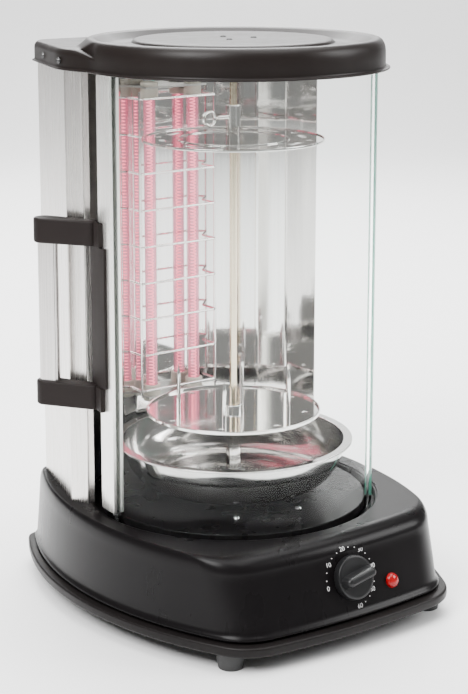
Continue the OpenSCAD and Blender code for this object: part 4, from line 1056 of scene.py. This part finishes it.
plates = dict(sheet=0.0012, edge=0.0003, holeIn=0.012, hole=0.0026, holes=8, prongAt=0.046, prongHole=0.0017,
              lowerBore=0.0032, lowerDown=0.006, rimWide=0.0016, rimHigh=0.003, post=0.006, collar=0.008,
              postBore=0.00302)


def plateHoles(r):
    p = plates
    return [circlePoints((r - p["holeIn"]) * math.cos(a), (r - p["holeIn"]) * math.sin(a), p["hole"])
            for a in np.arange(p["holes"]) * 2 * np.pi / p["holes"]]


def makeLowerPlate():
    p = plates
    lo, hi = span("lower_plate")
    r, z = float(hi[0]), float(hi[2]) - p["lowerDown"]
    low, bore, post, collar, wide = float(lo[2]), p["postBore"], p["post"], p["collar"], r - p["rimWide"]
    holes = plateHoles(r)
    holes += [circlePoints(p["prongAt"] * math.cos(a), p["prongAt"] * math.sin(a), p["prongHole"])
              for a in (np.arange(4) + 0.5) * np.pi / 2]
    outlines = [circlePoints(0, 0, r - 0.0005, 192), circlePoints(0, 0, p["lowerBore"], 48)] + holes
    disc = cutPlate("lower_plate", outlines, z, z + p["sheet"], p["edge"])
    high = z + p["rimHigh"]
    rim = soften([(wide, z + 0.0002), (r, z), (r, high), (wide, high)], 0.0007, closed=True)
    rim = lathe("rim", rim, 192, closed=True)
    post = soften([(bore, low), (post, low), (post, z + 0.0001), (collar, z + 0.0011), (collar, z + 0.006),
                   (bore, z + 0.006)], [0.0001, 0.0006, 0, 0, 0.0008, 0.0003], closed=True)
    post = lathe("post", post, 64, closed=True)
    return joined("lower_plate", [disc, rim, post])


finish(makeLowerPlate(), plateChrome, "spit", "plate_chrome", "lower_plate")


prong = dict(foot=0.003, footHigh=0.0012, radius=0.0017, point=0.009)


def makeProngs():
    d = prong
    lo, hi = span("plate_prongs")
    z0, z1, at = float(lo[2]), float(hi[2]), plates["prongAt"]
    low, high = z0 + d["footHigh"], z1 - d["point"]
    profile = soften([(0, z0), (d["foot"], z0), (d["foot"], low), (d["radius"], low + 0.0001), (d["radius"], high),
                      (0.0002, z1 - 0.0001), (0, z1)],
                     [0, 0.0004, 0.0003, 0.0002, 0.003, 0.0001, 0])
    return joined("prongs", [lathe("prong", profile, 32, (at * math.cos(a), at * math.sin(a), 0))
                             for a in (np.arange(4) + 0.5) * np.pi / 2])


finish(makeProngs(), plateChrome, "spit", "plate_chrome", "plate_prongs")


topPlate = dict(bore=0.0061, slotIn=0.0185, slotOut=0.014, slotFrom=14, slotTo=31, slotCorner=0.0021,
                rimWide=0.0014, rimHigh=0.0022, bead=0.62, beadWide=0.0024)


def makeTopPlate():
    d, p = topPlate, plates
    lo, hi = span("top_plate")
    r, z = float(hi[0]), float(lo[2])
    cuts = plateHoles(r)
    cuts += [sectorOutline(r - d["slotIn"], r - d["slotOut"], turn + d["slotFrom"], turn + d["slotTo"],
                           d["slotCorner"], 12) for turn in range(0, 360, 45)]
    outlines = [circlePoints(0, 0, r - 0.0005, 192), circlePoints(0, 0, d["bore"], 48)] + cuts
    disc = cutPlate("top_plate", outlines, z, z + p["sheet"], p["edge"])
    wide, high = r - d["rimWide"], z + d["rimHigh"]
    rim = soften([(wide, z + 0.0001), (r, z), (r, high), (wide, high)], 0.0006, closed=True)
    outer, inner = r * d["bead"], r * d["bead"] - d["beadWide"]
    bead = soften([(inner, z + 0.001), (outer, z + 0.001), (outer, z + 0.002), (inner, z + 0.002)],
                  [0, 0, 0.0009, 0.0009], closed=True)
    return joined("top_plate", [disc, lathe("rim", rim, 192, closed=True), lathe("bead", bead, 192, closed=True)])


finish(makeTopPlate(), plateChrome, "press", "plate_chrome", "top_plate")


hub = dict(bore=0.00305, neck=0.0059, flange=0.0099, flangeLow=0.003, flangeHigh=0.005)


def makeHub():
    h = hub
    lo, hi = span("top_hub")
    z0, z1 = float(lo[2]), float(hi[2])
    low, high = z0 + h["flangeLow"], z0 + h["flangeHigh"]
    profile = soften([(h["bore"], z0), (h["neck"], z0), (h["neck"], low), (h["flange"], low), (h["flange"], high),
                      (h["neck"], high + 0.0001), (h["neck"], z1), (h["bore"], z1)],
                     [0.0002, 0.0008, 0.0003, 0.0005, 0.0006, 0.0008, 0.0012, 0.0004], closed=True)
    return lathe("hub", profile, 64, closed=True)


finish(makeHub(), plateChrome, "press", "plate_chrome", "top_hub")


thumb = dict(wire=0.0013, loop=0.0055, screwLong=0.012, screw=0.0018, threadDeep=0.0002, threads=14)


# A straight screw, a neck and a ring of wire about a level line; the thread swells the radius with a cosine.
def makeThumb():
    d = thumb
    lo, hi = span("thumb_screw")
    x0, x1, z = float(hi[0]), float(lo[0]), float(lo[2] + hi[2]) / 2
    wire, loop, long = d["wire"], d["loop"], d["screwLong"]
    s = np.linspace(0, long, 60)
    ridge = d["screw"] + d["threadDeep"] * np.cos(s / long * 2 * np.pi * d["threads"])
    screw = tube("screw", np.stack([x0 - s, 0 * s, z + 0 * s], 1), ridge, 20)
    neck = tube("neck", [(x0 - long + 0.0002, 0, z), (x1 + 2 * loop + wire, 0, z)], wire, 16)
    a = np.linspace(0, 2 * np.pi, 96, endpoint=False)
    ring = np.stack([x1 + loop + wire + loop * np.cos(a), 0 * a, z + loop * np.sin(a)], 1)
    return joined("thumb_screw", [screw, neck, tube("ring", ring, wire, 16, closed=True)])


finish(makeThumb(), plateChrome, "thumb", "plate_chrome", "thumb_screw")
print("spit ready")

# Controls on the leaning front.
control = dict(low=0.0305, high=0.070, knobX=0.004, knobZ=0.053, lampX=0.044, lampZ=0.042)
frontTilt = math.atan2(base["lean"], control["high"] - control["low"])


def onFront(x, z, lift=0.0):
    c = control
    b = base
    turn = math.asin(x / b["frontArc"])
    tilt = frontTilt
    y = -(front - b["frontLow"]) + b["lean"] * (min(z, c["high"]) - c["low"]) / (c["high"] - c["low"])
    if z > c["high"]:  # over the rounded shoulder
        a = math.asin((z - c["high"]) / b["shoulderDrop"])
        y += b["shoulderFront"] * (1 - math.cos(a))
        tilt = max(tilt, math.atan2(b["shoulderFront"] * math.sin(a), b["shoulderDrop"] * math.cos(a)))
    return (Matrix.Translation((x, y + b["frontArc"] * (1 - math.cos(turn)), z)) @ Matrix.Rotation(turn, 4, "Z")
            @ Matrix.Rotation(math.pi / 2 - tilt, 4, "X") @ Matrix.Translation((0, 0, lift)))


knob = dict(radius=0.0175, gap=0.00095, bore=0.0031, skirt=0.0062, dish=0.0058, rest=10.0,
            gripAt=(0.0025, 0.006, 0.010, 0.0128, 0.0140, 0.0147, 0.01496, 0.015),
            gripHalf=(0.0058, 0.0052, 0.0043, 0.0036, 0.0031, 0.0025, 0.0018, 0.0010),
            gripCut=(0, 0, 0, 0.0002, 0.0007, 0.0014, 0.0022, 0.003), gripIn=0.0004, gripLean=0.0026)


# A dished disc, and over it a bar that narrows upwards: one capsule outline at each height.
def makeKnob():
    k = knob
    r, low = k["radius"], k["gap"]
    body = lathe("skirt", soften([(k["bore"], low), (r, low), (r - 0.0004, low + k["skirt"]),
                                  (r - 0.0022, low + k["skirt"] + 0.0004), (0, low + k["dish"])],
                                 [0.0001, 0.0006, 0.0009, 0.0008, 0]), 160)
    at = np.array(k["gripAt"])
    reach = r - k["gripIn"] - at / at[-1] * k["gripLean"] - np.array(k["gripCut"])
    rows = []
    for z, h, e in zip(low + at, k["gripHalf"], reach):
        outline = capsule(h - e, 0, h * 1.0001, e - h, 0, h, 24)
        rows.append(np.column_stack([outline, np.full(len(outline), z)]))
    grip = place(gridObject("grip", np.stack(rows), caps=True, smoothAngle=35),
                 Matrix.Rotation(math.radians(k["rest"]), 4, "Z"))
    return place(joined("knob", [body, grip]), onFront(control["knobX"], control["knobZ"]))


finish(makeKnob(), knobBlack, "knob", "knob_black", "timer_knob")


lens = dict(radius=0.006, collar=0.0015, dome=0.0031, edge=0.0002)


def makeLens():
    d = lens
    r, e, z = d["radius"], d["edge"], d["collar"]
    a = np.linspace(0, np.pi / 2, 10)
    dome = [((r - 0.0003) * math.cos(v), z + d["dome"] * math.sin(v)) for v in a]
    profile = [(0, 0), (r - e, 0), (r, e), (r, z - 0.0003), (r - e, z)] + dome[:-1] + [(0, dome[-1][1])]
    return place(lathe("lens", profile, 96), onFront(control["lampX"], control["lampZ"]))


finish(makeLens(), lampRed, "base", "lamp_red", "lamp_lens")


dial = dict(ring=0.0235, start=-100.0, step=45.0, numbers=7, size=0.0052, thick=0.00006, thin=-0.00009,
            lift=0.00008, dot=0.00042, dotThick=0.00014, dotEdge=0.00004)


# Dial numbers and dots, a tenth of a millimetre proud of the wall, each set square to it where it stands.
def makeDial():
    c, d = control, dial
    out = []

    def spot(angle):
        a = math.radians(angle)
        along, up = d["ring"] * math.sin(a), d["ring"] * math.cos(a) * math.cos(frontTilt)
        return c["knobX"] + along, c["knobZ"] + up

    for k in range(d["numbers"]):
        x, z = spot(d["start"] + d["step"] * k)
        text = bpy.data.curves.new("number", "FONT")
        text.body = str(10 * k)
        text.size = d["size"]
        text.align_x, text.align_y = "CENTER", "CENTER"
        text.extrude = d["thick"]
        text.offset = d["thin"]
        ob = bpy.data.objects.new("number", text)
        scene.collection.objects.link(ob)
        mesh = bpy.data.meshes.new_from_object(ob.evaluated_get(bpy.context.evaluated_depsgraph_get()))
        bpy.data.objects.remove(ob)
        ob = bpy.data.objects.new("number", mesh)
        scene.collection.objects.link(ob)
        out.append(place(ob, onFront(x, z, d["lift"])))
    for k in range(3 * d["numbers"] - 3):
        if k % 3:
            x, z = spot(d["start"] + d["step"] * k / 3)
            dot = prism("dot", circlePoints(0, 0, d["dot"], 20), 0, d["dotThick"], d["dotEdge"], 1)
            out.append(place(dot, onFront(x, z)))
    return joined("dial", out)


finish(makeDial(), dialWhite, "base", "switch_plastic")
print("controls ready")

# Pieces that keep their CAD shape, each with a finish of its own.
kept = {
    "foot_screws": darkScrew, "base_screws": darkScrew, "platform_screws": screwZinc, "cable_bushing": footRubber,
    "rear_cover_screws": screwZinc, "heat_shield": plainSteel, "heater_bracket_top": plainSteel,
    "heater_bracket_bottom": plainSteel, "ceiling_plate": mirrorSteel, "top_bearing": bearingBrass,
    "lid_screws": darkScrew, "lid_side_screws": darkScrew, "door_guides": screwZinc, "handle_screws": screwZinc,
    "motor_bracket": plainSteel, "drive_motor": motorZinc, "motor_screws": screwZinc, "drive_shaft": plainSteel,
    "drive_coupling": motorZinc, "timer_shaft": plainSteel, "timer_body": switchPlastic, "timer_nut": screwZinc,
    "lamp_body": switchPlastic, "thermal_cutout": ceramic, "terminal_block": switchPlastic,
}
for name, mat in kept.items():
    if name in nodes:
        nodes[name].data.materials.clear()
        nodes[name].data.materials.append(mat)
print("finishes on", len(kept), "kept pieces")

# Floor and light.
studio = dict(half=2.4, bend=1.6, near=2.6, wall=4.0, floorColour=0.9, skyLow=0.3, skyHigh=0.25)
lights = {  # place, aimed at, size, power
    "key": ((-1.5, -0.5, 1.7), (0, 0, 0.25), 1.1, 85),
    "sweep": ((0.5, 0.9, 2.9), (2.3, 3.1, 0.9), 2.0, 150),
    "fill": ((1.7, -1.3, 1.3), (0, 0, 0.2), 1.0, 45),
    "top": ((0.1, -0.1, 2.2), (0, 0, 0.2), 2.4, 105),
    "back": ((0.9, 1.5, 1.7), (0.3, 0.8, 0.6), 1.4, 70),
}


# The sweep runs flat under the object and turns up behind it in a quarter circle: rows along that section.
def makeFloor():
    s = studio
    a = np.linspace(0, np.pi / 2, 24)
    section = [(-s["half"], 0)] + [(s["near"] + s["bend"] * math.sin(v), s["bend"] * (1 - math.cos(v))) for v in a]
    section.append((s["near"] + s["bend"], s["wall"]))
    d, z = np.array(section).T
    away = np.array([math.sin(math.radians(camera["turn"])), math.cos(math.radians(camera["turn"]))])
    across = np.array([away[1], -away[0]])
    pts = [np.column_stack([d[:, None] * away + k * s["half"] * across, z]) for k in (-1, 1)]
    floor = gridObject("floor", np.stack(pts), wrapCols=False)
    pale = material("floor", skin, {
        "Colour": rgb(s["floorColour"]), "Worn colour": rgb(s["floorColour"] - 0.02), "Gloss": 0.7,
        "Gloss spread": 0.05, "Pebble size": 300.0}, {"Specular IOR Level": 0.2})
    floor.data.materials.append(pale)


def makeLight(name, at, aim, size, power):
    data = bpy.data.lights.new(name, "AREA")
    data.shape = "RECTANGLE"
    data.size = data.size_y = size
    data.energy = power
    ob = bpy.data.objects.new(name, data)
    scene.collection.objects.link(ob)
    ob.location = at
    ob.rotation_euler = (Vector(aim) - Vector(at)).to_track_quat("-Z", "Y").to_euler()


def makeWorld():
    world = bpy.data.worlds.new("studio")
    world.use_nodes = True
    t = world.node_tree
    sky = t.nodes["Background"]
    coord = put(t, "ShaderNodeTexCoord")
    split = put(t, "ShaderNodeSeparateXYZ")
    ramp = put(t, "ShaderNodeMapRange")
    for key, value in {"From Min": 0.0, "From Max": 0.9, "To Min": studio["skyLow"],
                       "To Max": studio["skyHigh"]}.items():
        ramp.inputs[key].default_value = value
    t.links.new(coord.outputs["Generated"], split.inputs[0])
    t.links.new(split.outputs["Z"], ramp.inputs["Value"])
    t.links.new(ramp.outputs["Result"], sky.inputs["Strength"])
    sky.inputs["Color"].default_value = (1, 0.99, 0.98, 1)
    scene.world = world


makeFloor()
makeWorld()
for name, values in lights.items():
    makeLight(name, *values)
print("floor and light ready")
